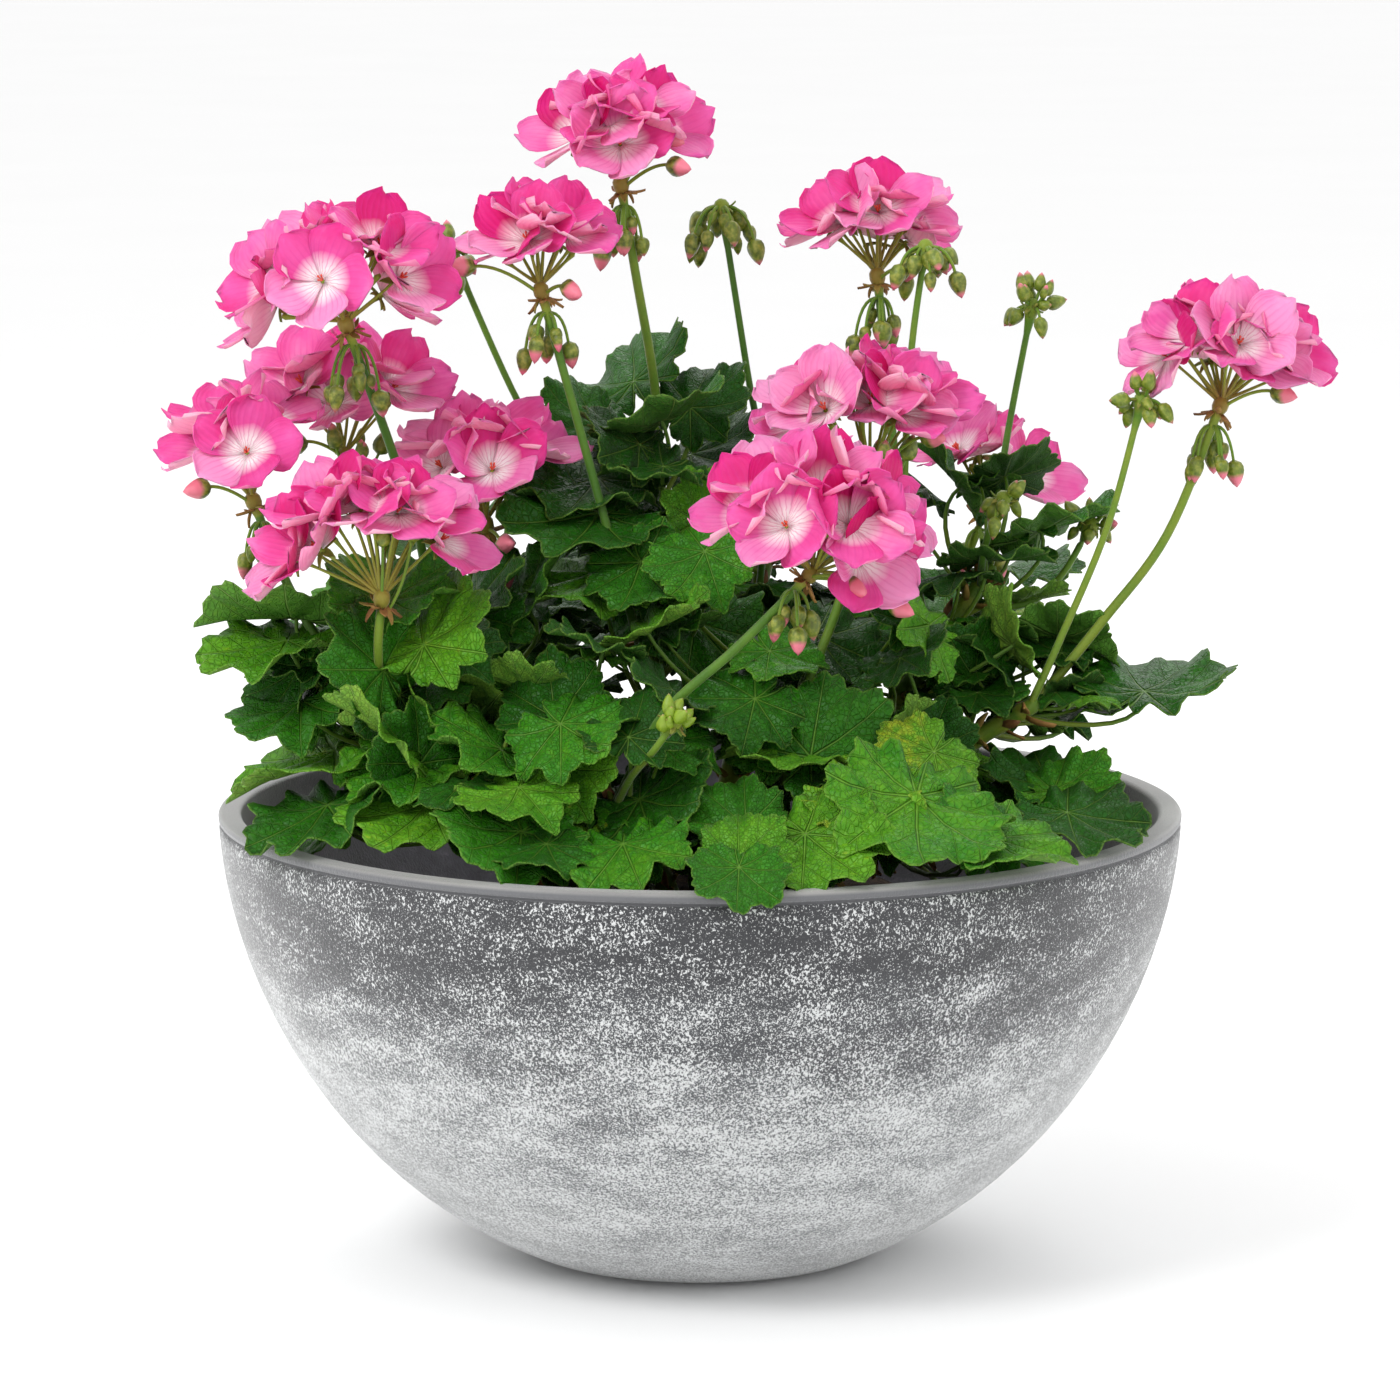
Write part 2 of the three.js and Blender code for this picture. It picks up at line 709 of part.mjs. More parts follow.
// The bowl: its outside would close at bowlDepth under the rim, and stands on its foot a little higher
function bowlOutside(height) {
  const share = ((bowlHeight - height) / bowlDepth) ** bowlSag;
  return (bowlWidth / 2) * (1 - share) ** (1 / bowlRoundness);
}

function bowlInside(height) {
  const share = ((bowlHeight - height) / (bowlHeight - bowlFloor)) ** bowlSag;
  return (bowlWidth / 2 - bowlWall) * (1 - share) ** (1 / bowlRoundness);
}

// Heights and radii of the inside wall, from the rim to the floor
const insideWall = [bowlHeight, 140, 80, 34].map((height) => [bowlInside(height), height]);

function turned(profile, sides) {
  const lathe = new THREE.LatheGeometry(
    profile.map(([radius, height]) => new THREE.Vector2(radius, height)),
    sides,
  );
  lathe.rotateX(Math.PI / 2);
  return lathe;
}

function bowl() {
  const outside = [footHeight, 10, 26, 52, 90, 136, bowlHeight - rimBandHeight];
  const profile = [
    [0, 0],
    [footWidth / 2, 0],
    [footWidth / 2, footHeight],
    ...outside.map((height) => [bowlOutside(height) - 0.8, height]),
    [bowlWidth / 2, bowlHeight - rimBandHeight + 0.6],
    [bowlWidth / 2, bowlHeight],
    ...insideWall,
    [0, bowlFloor],
  ];
  return solidFrom(turned(profile, bowlSides));
}

// The soil fills the bowl to well under its rim and rises to the root ball in the middle
function soilRelief(x, y) {
  const turn = Math.atan2(y, x);
  const radius = Math.hypot(x, y);
  return 2.2 * Math.sin(3 * turn + radius / 19) + 1.6 * Math.sin(5 * turn - radius / 11 + 1);
}

function soil() {
  const [[above, high], [below, low], deep] = insideWall.slice(1);
  const edge = between(below, above, (soilEdgeHeight - low) / (high - low)) - soilShrinkage;
  const mound = soilMoundWidth / 2;
  const profile = [
    [0, bowlFloor + soilShrinkage],
    [deep[0] - soilShrinkage, deep[1] + soilShrinkage],
    [below - soilShrinkage, low],
    [edge, soilEdgeHeight],
    [between(edge, mound, 0.5), soilEdgeHeight + 8],
    [mound, soilMoundHeight - 10],
    [mound * 0.5, soilMoundHeight],
    [0, soilMoundHeight + 1],
  ];
  const ground = turned(profile, soilSides);
  const position = ground.attributes.position;
  for (let i = 0; i < position.count; i += 1) {
    const [x, y, z] = [position.getX(i), position.getY(i), position.getZ(i)];
    const onTop = z > soilEdgeHeight + 1 && Math.hypot(x, y) > 1;
    position.setZ(i, onTop ? z + soilRelief(x, y) : z);
  }
  return solidFrom(ground);
}

// The blades: leaves shoot by shoot, then the flowers umbel by umbel, each kept apart from all others
const flowering = flowerStems.filter((plan) => plan.flowers);
const hubs = flowering.map((plan) => new THREE.Vector3(...plan.stalk[plan.stalk.length - 1]));
const leaves = shoots.map((shoot, i) => {
  const draw = seededDraws(101 + i);
  const rows = shoot.leaves ?? wildLeaves(spineOf(shoot), shoot.wild);
  return rows.map((row) => leafBlade(row, draw));
});
const flowers = flowering.map((plan, i) => {
  const draw = seededDraws(301 + i);
  return points(plan.flowers).map((offset) => flowerBlade(hubs[i], offset, draw));
});
const blades = [...flowers.flat(), ...leaves.flat()];
const bladeSpaces = new Map(blades.map((blade) => [blade, bladeSolid(blade, clearance)]));
blades.forEach((one, i) => {
  for (const other of blades.slice(i + 1)) {
    if (touches(bladeSpaces.get(one), bladeSpaces.get(other))) {
      keepApart(one, other);
      bladeSpaces.set(one, bladeSolid(one, clearance));
      bladeSpaces.set(other, bladeSolid(other, clearance));
    }
  }
});

// Each part is drawn at true size and once a little larger, as the space that the others keep clear of.
// Branches stay whole, then stalks, leaf stems and flower stems, and a blade gives way to all of them.
const branches = shoots.map((shoot) => branch(shoot, 0));
const branchSpaces = shoots.map((shoot) => branch(shoot, clearance));
const stalkSpaces = flowerStems.map((plan) => stalk(plan, clearance));
const stemSpaces = [];
const allBut = (map, key) => [...map].filter(([other]) => other !== key).map(([, solid]) => solid);
const others = (solids, index) => solids.filter((solid, i) => i !== index);
const leafStems = shoots.map((shoot, i) => {
  const spine = spineOf(shoot);
  return leaves[i].map((blade, k) => {
    const root = spine.getPoint(between(0.4, 0.98, k / (leaves[i].length - 1)));
    const woody = [...others(branchSpaces, i), ...stalkSpaces, ...stemSpaces];
    const made = leafStem(root, blade, [...woody, ...allBut(bladeSpaces, blade)]);
    stemSpaces.push(made.space);
    return made;
  });
});
const flowerStemPieces = flowering.map((plan, i) => flowers[i].map((blade) => {
  const obstacles = [...stemSpaces, ...stalkSpaces, ...allBut(bladeSpaces, blade)];
  const made = flowerStem(hubs[i], blade, obstacles);
  stemSpaces.push(made.space);
  return made;
}));

// Stems with their blades. Stems give way to the stems before them, blades also to every stem but their own.
function foliage(group, stems, woody) {
  const own = new Set(stems.map((made) => made.space));
  const foreign = stemSpaces.filter((space) => !own.has(space));
  const stemsBefore = stemSpaces.slice(0, stemSpaces.indexOf(stems[0].space));
  const bladesBefore = [...bladeSpaces.values()].slice(0, blades.indexOf(group[0]));
  const freeStems = stems.map((made) => cutBy(made.solid, [...woody, ...stemsBefore]));
  const crowd = [...woody, ...foreign, ...bladesBefore];
  const freeBlades = group.map((blade) => cutBy(bladeSolid(blade, 0), crowd));
  return [...freeStems, ...freeBlades];
}

const plant = new THREE.Group();
const pot = new THREE.Group();
const base = new THREE.Vector3();

flowerStems.forEach((plan, i) => {
  const free = cutBy(stalk(plan, 0), [...branchSpaces, ...stalkSpaces.slice(0, i)]);
  const foot = new THREE.Vector3(...plan.stalk[0]);
  plant.add(meshOf(`stalk_${plan.name}`, mainBody(free), stalkSurface, foot));
});

flowering.forEach((plan, i) => {
  const woody = [...branchSpaces, ...stalkSpaces];
  const hub = cutBy(ball(hubs[i], umbelHubRadius), stalkSpaces);
  const whole = joined([hub, ...foliage(flowers[i], flowerStemPieces[i], woody)]);
  plant.add(meshOf(`flowers_${plan.name}`, mainBody(whole), petalSurface, hubs[i]));
});

shoots.forEach((shoot, i) => {
  const woody = [...others(branchSpaces, i), ...stalkSpaces];
  const whole = joined([branches[i], ...foliage(leaves[i], leafStems[i], woody)]);
  const foot = new THREE.Vector3(...shoot.spine[0]);
  plant.add(meshOf(shoot.name, mainBody(whole), leafSurface, foot));
});

pot.add(meshOf("bowl", bowl(), claySurface, base));
pot.add(meshOf("soil", mainBody(cutBy(soil(), branchSpaces)), soilSurface, base));

const geranium = new THREE.Group();
geranium.add(pot, plant);

export default geranium;
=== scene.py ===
# %% [markdown]
# # A potted geranium for a balcony, dressed for its portrait
# The plant stands in a wide half-round bowl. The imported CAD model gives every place: the bowl,
# the soil, each branch, each leaf, each flower. It could be shown as it is, but its leaves and
# petals are plain blades with a few flat sides. So this script grows finer pieces at the same
# places, in the same frame, and hides the plain ones. Blender works in metres; the tables below
# are in millimetres.

import math

import bpy
from mathutils import Matrix, Vector, noise


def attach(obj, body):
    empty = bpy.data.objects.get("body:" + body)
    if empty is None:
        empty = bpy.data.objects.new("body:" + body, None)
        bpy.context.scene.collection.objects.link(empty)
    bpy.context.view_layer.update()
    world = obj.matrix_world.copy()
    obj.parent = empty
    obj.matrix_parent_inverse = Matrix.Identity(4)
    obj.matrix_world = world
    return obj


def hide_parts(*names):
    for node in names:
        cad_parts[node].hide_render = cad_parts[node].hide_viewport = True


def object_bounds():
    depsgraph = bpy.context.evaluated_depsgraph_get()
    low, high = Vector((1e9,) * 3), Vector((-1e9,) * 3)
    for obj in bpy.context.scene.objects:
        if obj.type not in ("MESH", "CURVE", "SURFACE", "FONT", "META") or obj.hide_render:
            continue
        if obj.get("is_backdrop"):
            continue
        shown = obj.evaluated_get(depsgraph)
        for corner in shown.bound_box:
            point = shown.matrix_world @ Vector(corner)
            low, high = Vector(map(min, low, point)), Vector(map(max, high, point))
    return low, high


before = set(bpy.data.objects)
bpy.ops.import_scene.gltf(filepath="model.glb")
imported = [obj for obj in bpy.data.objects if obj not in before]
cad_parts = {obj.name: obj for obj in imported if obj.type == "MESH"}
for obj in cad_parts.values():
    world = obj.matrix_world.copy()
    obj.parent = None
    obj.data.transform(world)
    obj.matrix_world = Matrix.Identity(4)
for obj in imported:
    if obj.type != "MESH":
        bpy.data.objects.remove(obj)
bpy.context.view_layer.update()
MM = 0.001

# %% [markdown]
# ## Camera
# The photograph looks slightly down on the pot from about two and a half metres away, through a
# long lens. The camera could be aimed by eye. It is placed by numbers instead, found from the
# ellipse of the rim, so that every piece lands on the pixel it has in the photograph.

# %% Camera
EYE, DEGREES_DOWN = (0, -2.4708, 0.6182), 8.76
FOCAL_PIXELS, PHOTO_WIDTH, SENSOR = 6017.6, 1400, 36
camera = bpy.data.objects.new("camera", bpy.data.cameras.new("camera"))
bpy.context.scene.collection.objects.link(camera)
camera.location = EYE
camera.rotation_euler = (math.radians(90 - DEGREES_DOWN), 0, 0)
camera.data.sensor_width = SENSOR
camera.data.lens = FOCAL_PIXELS / PHOTO_WIDTH * SENSOR
camera.data.clip_end = 60
bpy.context.scene.camera = camera
print("lens", round(camera.data.lens, 2), "mm")

# %% [markdown]
# ## Colours and nodes
# Colours are written as sRGB hex, as on a paint card. Blender's shaders want linear light, so one
# function turns them. One more function adds a node with its settings and links, for shader trees
# and Geometry Nodes trees alike, and gives back the output that the next node needs. Most
# finishes add up a few patterns and then lay colours over each other, as a painter does, so two
# loops do that. A Mix node set to colours keeps them in its inputs 6 and 7, and gives the mixed
# one from output 2.


# %% Colour and node helpers
def colour(code):
    """A linear RGBA colour from an sRGB hex value."""
    parts = [int(code[i : i + 2], 16) / 255 for i in (1, 3, 5)]
    return [c / 12.92 if c <= 0.04045 else ((c + 0.055) / 1.055) ** 2.4 for c in parts] + [1]


def add(tree, kind, inputs=(), take=0, stops=(), **settings):
    """Adds one node, and gives back its output of the name or number take.

    An input is a value, a hex colour, or another node's output. Inputs in a tuple go in order.
    The stops of a colour ramp are (place, hex colour).
    """
    node = tree.nodes.new(kind)
    for name, value in settings.items():
        setattr(node, name, value)
    for name, value in inputs.items() if isinstance(inputs, dict) else enumerate(inputs):
        if isinstance(value, bpy.types.NodeSocket):
            tree.links.new(value, node.inputs[name])
        else:
            is_colour = str(value).startswith("#")
            node.inputs[name].default_value = colour(value) if is_colour else value
    if stops:
        elements = node.color_ramp.elements
        while len(elements) < len(stops):
            elements.new(0.5)
        for element, (place, code) in zip(elements, stops):
            element.position = place
            element.color = colour(code)
    return node.outputs[take] if node.outputs else None


def weighted(tree, total, *parts):
    """total, and each part times its weight: parts are (output, weight)."""
    for part, weight in parts:
        total = add(tree, "ShaderNodeMath", (part, weight, total), operation="MULTIPLY_ADD")
    return total


def layered(tree, skin, *layers):
    """skin under layers of (where, colour), each as thick as where says, from 0 to 1."""
    for where, tone in layers:
        mix = {"Factor": where, 6: skin, 7: tone}
        skin = add(tree, "ShaderNodeMix", mix, 2, data_type="RGBA")
    return skin


def material(name):
    """A new material: its node tree and its Principled shader."""
    made = bpy.data.materials.new(name)
    made.use_nodes = True
    print("finish", name)
    return made, made.node_tree, made.node_tree.nodes["Principled BSDF"]


# %% [markdown]
# ## What a plant needs again and again
# Every plant is made of things that repeat: stems along paths, and blades set on points. Each
# could be modelled by hand, hundreds of times. Geometry Nodes do it from a list instead: a mesh
# of bare points or lines carries what differs (thickness, turn, size, tint) as attributes, and
# one tree turns it into the finished piece. The draws come from a plain generator with a fixed
# seed, so each run gives the same plant.


# %% Draws and smooth paths
def draws(seed):
    """A plain multiplying generator: numbers from 0 to 1, the same on every run."""
    state = [seed * 7919]

    def draw(low=0.0, high=1.0):
        state[0] = state[0] * 16807 % 2147483647
        return low + (high - low) * state[0] / 2147483647

    return draw


def along(points, share):
    """The point at a share of a smooth curve that runs through all points."""
    p = [Vector(q) for q in points]
    p = [2 * p[0] - p[1], *p, 2 * p[-1] - p[-2]]
    reach = share * (len(points) - 1)
    i = min(int(reach), len(points) - 2)
    t = reach - i
    a, b, c, d = p[i : i + 4]
    bend = 2 * a - 5 * b + 4 * c - d
    return 0.5 * (2 * b + (c - a) * t + bend * t * t + (3 * b - a - 3 * c + d) * t**3)


def arched(root, bend, end, share):
    """The point at a share of an arch from root to end, drawn towards bend."""
    return root * (1 - share) ** 2 + bend * 2 * share * (1 - share) + end * share * share


# %% Trees that grow pieces
def new_tree(name, **inputs):
    """An empty Geometry Nodes tree with named inputs: label = (kind of socket, default)."""
    tree = bpy.data.node_groups.new(name, "GeometryNodeTree")
    sockets = {"Geometry": ("Geometry", None), **inputs}
    for label, (kind, value) in sockets.items():
        label = label.replace("_", " ")
        socket = tree.interface.new_socket(label, in_out="INPUT", socket_type="NodeSocket" + kind)
        if value is not None:
            socket.default_value = value
    tree.interface.new_socket("Geometry", in_out="OUTPUT", socket_type="NodeSocketGeometry")
    return tree, tree.nodes.new("NodeGroupInput").outputs


def end_tree(tree, geometry, finish, smooth=True):
    """Ends a tree: real geometry instead of instances, smooth shading, and its material."""
    real = add(tree, "GeometryNodeRealizeInstances", {"Geometry": geometry})
    shaded = add(tree, "GeometryNodeSetShadeSmooth", {"Geometry": real, "Shade Smooth": smooth})
    last = add(tree, "GeometryNodeSetMaterial", {"Geometry": shaded, "Material": finish})
    add(tree, "NodeGroupOutput", {"Geometry": last})


def grow(obj, tree, **values):
    """Runs a tree on obj, and keeps what it makes as a plain mesh."""
    modifier = obj.modifiers.new(tree.name, "NODES")
    modifier.node_group = tree
    for item in tree.interface.items_tree:
        label = item.name.replace(" ", "_")
        if item.in_out == "INPUT" and label in values:
            modifier[item.identifier] = values[label]
    seen = obj.evaluated_get(bpy.context.evaluated_depsgraph_get())
    made = bpy.data.meshes.new_from_object(seen)
    obj.modifiers.remove(modifier)
    obj.data = made
    print(obj.name, len(made.polygons), "faces")
    return obj


def bare_mesh(name, places, edges=(), faces=(), **attributes):
    """An object of bare points, lines or faces, in metres, with attributes on its points.

    The first value decides what an attribute is: a vector, a whole number or a plain one.
    """
    mesh = bpy.data.meshes.new(name)
    mesh.from_pydata([tuple(p) for p in places], edges, faces)
    for label, values in attributes.items():
        if isinstance(values[0], (tuple, list, Vector)):
            layer = mesh.attributes.new(label, "FLOAT_VECTOR", "POINT")
            layer.data.foreach_set("vector", [c for v in values for c in v])
        else:
            kind = "INT" if isinstance(values[0], int) else "FLOAT"
            layer = mesh.attributes.new(label, kind, "POINT")
            layer.data.foreach_set("value", values)
    obj = bpy.data.objects.new(name, mesh)
    bpy.context.scene.collection.objects.link(obj)
    return obj


def hand_over(obj, slot, *nodes):
    """Gives the frame a finished piece. It rides on the pot, and stands for these CAD nodes."""
    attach(obj, "root")
    if nodes:
        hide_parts(*nodes)


# %% [markdown]
# ### Stems
# A stem is a round tube that thins towards its end. It could be a curve object with a bevel. Here
# it starts as a chain of points, because each point can then carry its own thickness and tint:
# the tree reads the chain as a curve and sweeps a circle along it.

# %% The tree for stems
stem_tree, given = new_tree("stems along paths", Sides=("Int", 8), Material=("Material", None))
curve = add(stem_tree, "GeometryNodeMeshToCurve", {"Mesh": given["Geometry"]})
ring = add(
    stem_tree, "GeometryNodeCurvePrimitiveCircle", {"Resolution": given["Sides"], "Radius": 1.0}
)
thick = add(stem_tree, "GeometryNodeInputNamedAttribute", {"Name": "thick"}, data_type="FLOAT")
tube = add(
    stem_tree,
    "GeometryNodeCurveToMesh",
    {"Curve": curve, "Profile Curve": ring, "Scale": thick, "Fill Caps": True},
)
end_tree(stem_tree, tube, given["Material"])


def stems(name, paths, sides, finish):
    """Tubes along paths, each a list of (place, radius, tint) with places in millimetres."""
    places, edges, thick, tint = [], [], [], []
    for path in paths:
        edges += [(len(places) + i, len(places) + i + 1) for i in range(len(path) - 1)]
        places += [p * MM for p, r, t in path]
        thick += [r * MM for p, r, t in path]
        tint += [float(t) for p, r, t in path]
    obj = bare_mesh(name, places, edges, thick=thick, tint=tint)
    return grow(obj, stem_tree, Sides=sides, Material=finish)


# %% [markdown]
# ### Blades, petals and buds
# A leaf, a petal or a bud is one of a few forms, set down many times with its own turn and size.
# The tree picks the form by number, places it, and makes it real geometry, because instances
# don't survive an export.

# %% The tree for forms on points
form_tree, given = new_tree(
    "forms on points", Forms=("Collection", None), Material=("Material", None)
)
family = add(
    form_tree,
    "GeometryNodeCollectionInfo",
    {"Collection": given["Forms"], "Separate Children": True, "Reset Children": True},
)
turn, form, size = (
    add(form_tree, "GeometryNodeInputNamedAttribute", {"Name": name}, data_type=kind)
    for name, kind in (("turn", "FLOAT_VECTOR"), ("form", "INT"), ("size", "FLOAT_VECTOR"))
)
placed = add(
    form_tree,
    "GeometryNodeInstanceOnPoints",
    {
        "Points": given["Geometry"],
        "Instance": family,
        "Pick Instance": True,
        "Instance Index": form,
        "Rotation": add(form_tree, "FunctionNodeEulerToRotation", (turn,)),
        "Scale": size,
    },
)
end_tree(form_tree, placed, given["Material"])


def family_of(name, forms):
    """A collection of forms, each (places, faces, map places, attributes)."""
    collection = bpy.data.collections.new(name)
    for i, (places, faces, flat, attributes) in enumerate(forms):
        obj = bare_mesh(f"{name}_{i}", places, faces=faces, **attributes)
        layer = obj.data.uv_layers.new(name="UVMap")
        for loop in obj.data.loops:
            layer.data[loop.index].uv = flat[loop.vertex_index]
        bpy.context.scene.collection.objects.unlink(obj)
        collection.objects.link(obj)
    print(name, len(forms), "forms")
    return collection


def faced(forward, facing):
    """The turn that lays a form's X along forward and its Z as near facing as it can."""
    x = forward.normalized()
    z = (facing - x * facing.dot(x)).normalized()
    return Matrix((x, z.cross(x), z)).transposed().to_euler()


def set_out(name, rows, collection, finish):
    """Forms set on points. A row is a dict of place and size (mm), turn, form, and what else it
    carries for the material."""
    places = [row.pop("place") * MM for row in rows]
    for row in rows:
        size = row["size"]
        row["size"] = Vector((size,) * 3 if isinstance(size, (int, float)) else size) * MM
        row["turn"] = tuple(row["turn"])
    columns = {label: [row[label] for row in rows] for label in rows[0]}
    obj = bare_mesh(name, places, **columns)
    return grow(obj, form_tree, Forms=collection, Material=finish)


# %% Two kinds of form
def sheet_form(rows, columns, place):
    """A form from a grid: place(along, across) gives a point for shares from 0 to 1."""
    shares = [(i / rows, j / columns) for i in range(rows + 1) for j in range(columns + 1)]
    places = [place(*share) for share in shares]
    width = columns + 1
    faces = [
        (i * width + j, (i + 1) * width + j, (i + 1) * width + j + 1, i * width + j + 1)
        for i in range(rows)
        for j in range(columns)
    ]
    return places, faces, shares, {"share": [s[0] for s in shares]}


def round_form(rows, sides, profile):
    """A closed form round X, pointed at both ends: profile(share) gives (along, radius)."""
    places, shares = [Vector((profile(0)[0], 0, 0))], [0.0]
    for i in range(1, rows):
        x, radius = profile(i / rows)
        for j in range(sides):
            turn = 2 * math.pi * j / sides
            places.append(Vector((x, radius * math.cos(turn), radius * math.sin(turn))))
            shares.append(i / rows)
    places.append(Vector((profile(1)[0], 0, 0)))
    shares.append(1.0)
    last = len(places) - 1
    faces = [(0, 1 + (j + 1) % sides, 1 + j) for j in range(sides)]
    for i in range(rows - 2):
        a, b = 1 + i * sides, 1 + (i + 1) * sides
        faces += [
            (a + j, a + (j + 1) % sides, b + (j + 1) % sides, b + j) for j in range(sides)
        ]
    a = last - sides
    faces += [(a + j, a + (j + 1) % sides, last) for j in range(sides)]
    flat = [(s, 0.5) for s in shares]
    return places, faces, flat, {"share": shares}


# %% [markdown]
# ## The bowl
# The pot is a half-round bowl of fibre clay: clay, stone dust and glass fibre, pressed in a mould
# and brushed with a pale wash, which stays in the pores as white frost. Its outside is almost an
# ellipse. A bowl like this could be spun from a curve by hand; here the outline comes from the
# same rule as the CAD model's, with the fine steps that its 28 flat sides leave out: the moulded
# lip, the groove under it, and the rounded inner edge.

# %% Outline of the bowl
RIM, HEIGHT, DEPTH, FLOOR, WALL = 200.0, 188.0, 200.0, 12.0, 9.5


def outside(height):
    return RIM * (1 - ((HEIGHT - height) / DEPTH) ** 1.8) ** (1 / 2.08)


def inside(height):
    share = ((HEIGHT - height) / (HEIGHT - FLOOR)) ** 1.8
    return (RIM - WALL) * (1 - share) ** (1 / 2.08)


# Each point of the outline says which zone of the bowl it belongs to.
OUTER, LIP, INNER = 0.0, 1.0, 2.0
climb = (2.2, 3.2, 5, 8, 12, 17, 23, 30, 38, 47, 57, 68, 80, 92, 104, 116, 128, 139, 149, 158)
climb += (166, 173, 178, 181.6)
descent = (182, 175, 166, 156, 146, 135, 122, 100, 80, 60, 42, 28, 19, 14.5)
outline = [(0, 0, OUTER), (48.6, 0, OUTER), (50, 0.7, OUTER), (50, 2.1, OUTER)]
outline += [(outside(h), h, OUTER) for h in climb]
outline += [(199.2, 182.6, OUTER), (198.2, 183.0, LIP), (198.1, 183.8, LIP), (199.4, 184.2, LIP)]
outline += [(200.0, 184.9, LIP), (200.1, 186.6, LIP), (199.6, 187.5, LIP), (198.7, 187.9, LIP)]
outline += [(197.6, 188.0, LIP), (192.6, 188.0, LIP), (191.3, 187.6, LIP), (190.6, 186.8, LIP)]
outline += [(190.4, 186.0, INNER), *((inside(h), h, INNER) for h in descent)]
outline += [(70, 12.4, INNER), (0, 12, INNER)]
print(len(outline), "points in the outline")

# %% The tree that turns an outline
turning_tree, given = new_tree("turned outline", Sides=("Int", 160), Material=("Material", None))
drawn = add(turning_tree, "GeometryNodeMeshToCurve", {"Mesh": given["Geometry"]})
circle = add(
    turning_tree, "GeometryNodeCurvePrimitiveCircle", {"Resolution": given["Sides"], "Radius": 1.0}
)
wall = add(turning_tree, "GeometryNodeCurveToMesh", {"Curve": circle, "Profile Curve": drawn})
closed = add(
    turning_tree, "GeometryNodeMergeByDistance", {"Geometry": wall, "Distance": 0.00001}
)
end_tree(turning_tree, closed, given["Material"])


def turned(name, profile, sides, finish):
    """A form turned round Z from (radius, height, zone) in mm, along a circle 1 m in radius."""
    places = [Vector((r * MM - 1, -h * MM, 0)) for r, h, zone in profile]
    edges = [(i, i + 1) for i in range(len(places) - 1)]
    obj = bare_mesh(name, places, edges, zone=[float(zone) for r, h, zone in profile])
    return grow(obj, turning_tree, Sides=sides, Material=finish)


# %% [markdown]
# ### Fibre clay with a pale wash
# Moulded fibre clay is matt and slightly rough. Near the rim it shows its own charcoal, with
# flakes of the wash; lower down the wash covers more and more, until it is a dense pale speckle.
# So the material starts from the height, disturbs that edge with broad patches, and sprinkles
# fine flakes about 1 to 1.5 mm across. The top of the lip is paler, in patches; the inside is
# smooth and dark.

# %% Where the wash lies on the clay
fibre_clay, tree, shader = material("fibre_clay_pale_wash")
place = add(tree, "ShaderNodeTexCoord", take="Object")
height = add(tree, "ShaderNodeSeparateXYZ", (place,), "Z")
zone = add(tree, "ShaderNodeAttribute", take="Fac", attribute_name="zone")
wide = add(tree, "ShaderNodeMapping", {"Vector": place, "Scale": (0.6, 0.6, 1.5)})
upright = add(tree, "ShaderNodeMapping", {"Vector": place, "Scale": (1, 1, 0.75)})
patches, clusters, flakes, dust, lip_top_patches, scuffs = (
    add(
        tree,
        "ShaderNodeTexNoise",
        {"Vector": where, "Scale": per_metre, "Detail": detail, "Roughness": roughness},
    )
    for where, per_metre, detail, roughness in (
        (wide, 20, 5, 0.6),  # patches as wide as a hand
        (wide, 55, 5, 0.68),  # flakes crowd together, a finger wide
        (upright, 980, 3, 0.6),  # flakes of 1 to 1.5 mm
        (place, 1500, 2, 0.6),  # dust between them
        (place, 14, 3, 0.5),  # patches along the top of the lip
        (place, 45, 6, 0.75),  # scuffs inside
    )
)
near_rim, on_top, on_lip, within = (
    add(tree, "ShaderNodeMapRange", {"Value": value, "From Min": low, "From Max": high})
    for value, low, high in (
        (height, 0.158, 0.178), (height, 0.1862, 0.1874), (zone, 0.4, 0.6), (zone, 1.5, 1.9),
    )
)
wash = add(tree, "ShaderNodeClamp", (weighted(tree, 1.51, (height, -15.0), (patches, 1.7)),))
cover = weighted(tree, flakes, (clusters, 0.43), (near_rim, 0.022), (wash, 0.075))
specks = weighted(tree, dust, (clusters, 0.12), (wash, 0.115))
flecks, specks = (
    add(
        tree, "ShaderNodeMapRange",
        {"Value": value, "From Min": low, "From Max": high, "To Max": white},
    )
    for value, low, high, white in ((cover, 0.809, 0.849, 1.0), (specks, 0.675, 0.72, 0.85))
)
frost = add(tree, "ShaderNodeMath", (flecks, specks), operation="MAXIMUM")
print("fibre clay", len(tree.nodes), "nodes for the wash")

# %% The colours of the clay
ground, lip_top_tone, smooth = (
    add(tree, "ShaderNodeValToRGB", (where,), stops=stops)
    for where, *stops in (
        (wash, (0.0, "#28292d"), (0.4, "#35373b"), (0.75, "#484b4e"), (1.0, "#54575a")),
        (lip_top_patches, (0.3, "#7d7d7c"), (0.55, "#908f8d"), (0.75, "#a09f9c")),
        (scuffs, (0.35, "#4c4a52"), (0.58, "#64626c"), (0.75, "#918f98")),
    )
)
# The top face of the lip is paler than its sides, in patches.
lip = layered(tree, "#626366", (on_top, lip_top_tone))
skin = layered(tree, ground, (frost, "#d1d3d3"), (on_lip, lip), (within, smooth))
bump = add(tree, "ShaderNodeBump", {"Height": cover, "Distance": 0.0008, "Strength": 0.5})
tree.links.new(skin, shader.inputs["Base Color"])
tree.links.new(bump, shader.inputs["Normal"])
shader.inputs["Roughness"].default_value = 0.62
shader.inputs["Sheen Weight"].default_value = 0.6
shader.inputs["Sheen Roughness"].default_value = 0.5
print("fibre clay", len(tree.nodes), "nodes in all")

# %% The bowl itself
bowl = turned("bowl_fibre_clay", outline, 160, fibre_clay)
hand_over(bowl, "clay", "bowl")

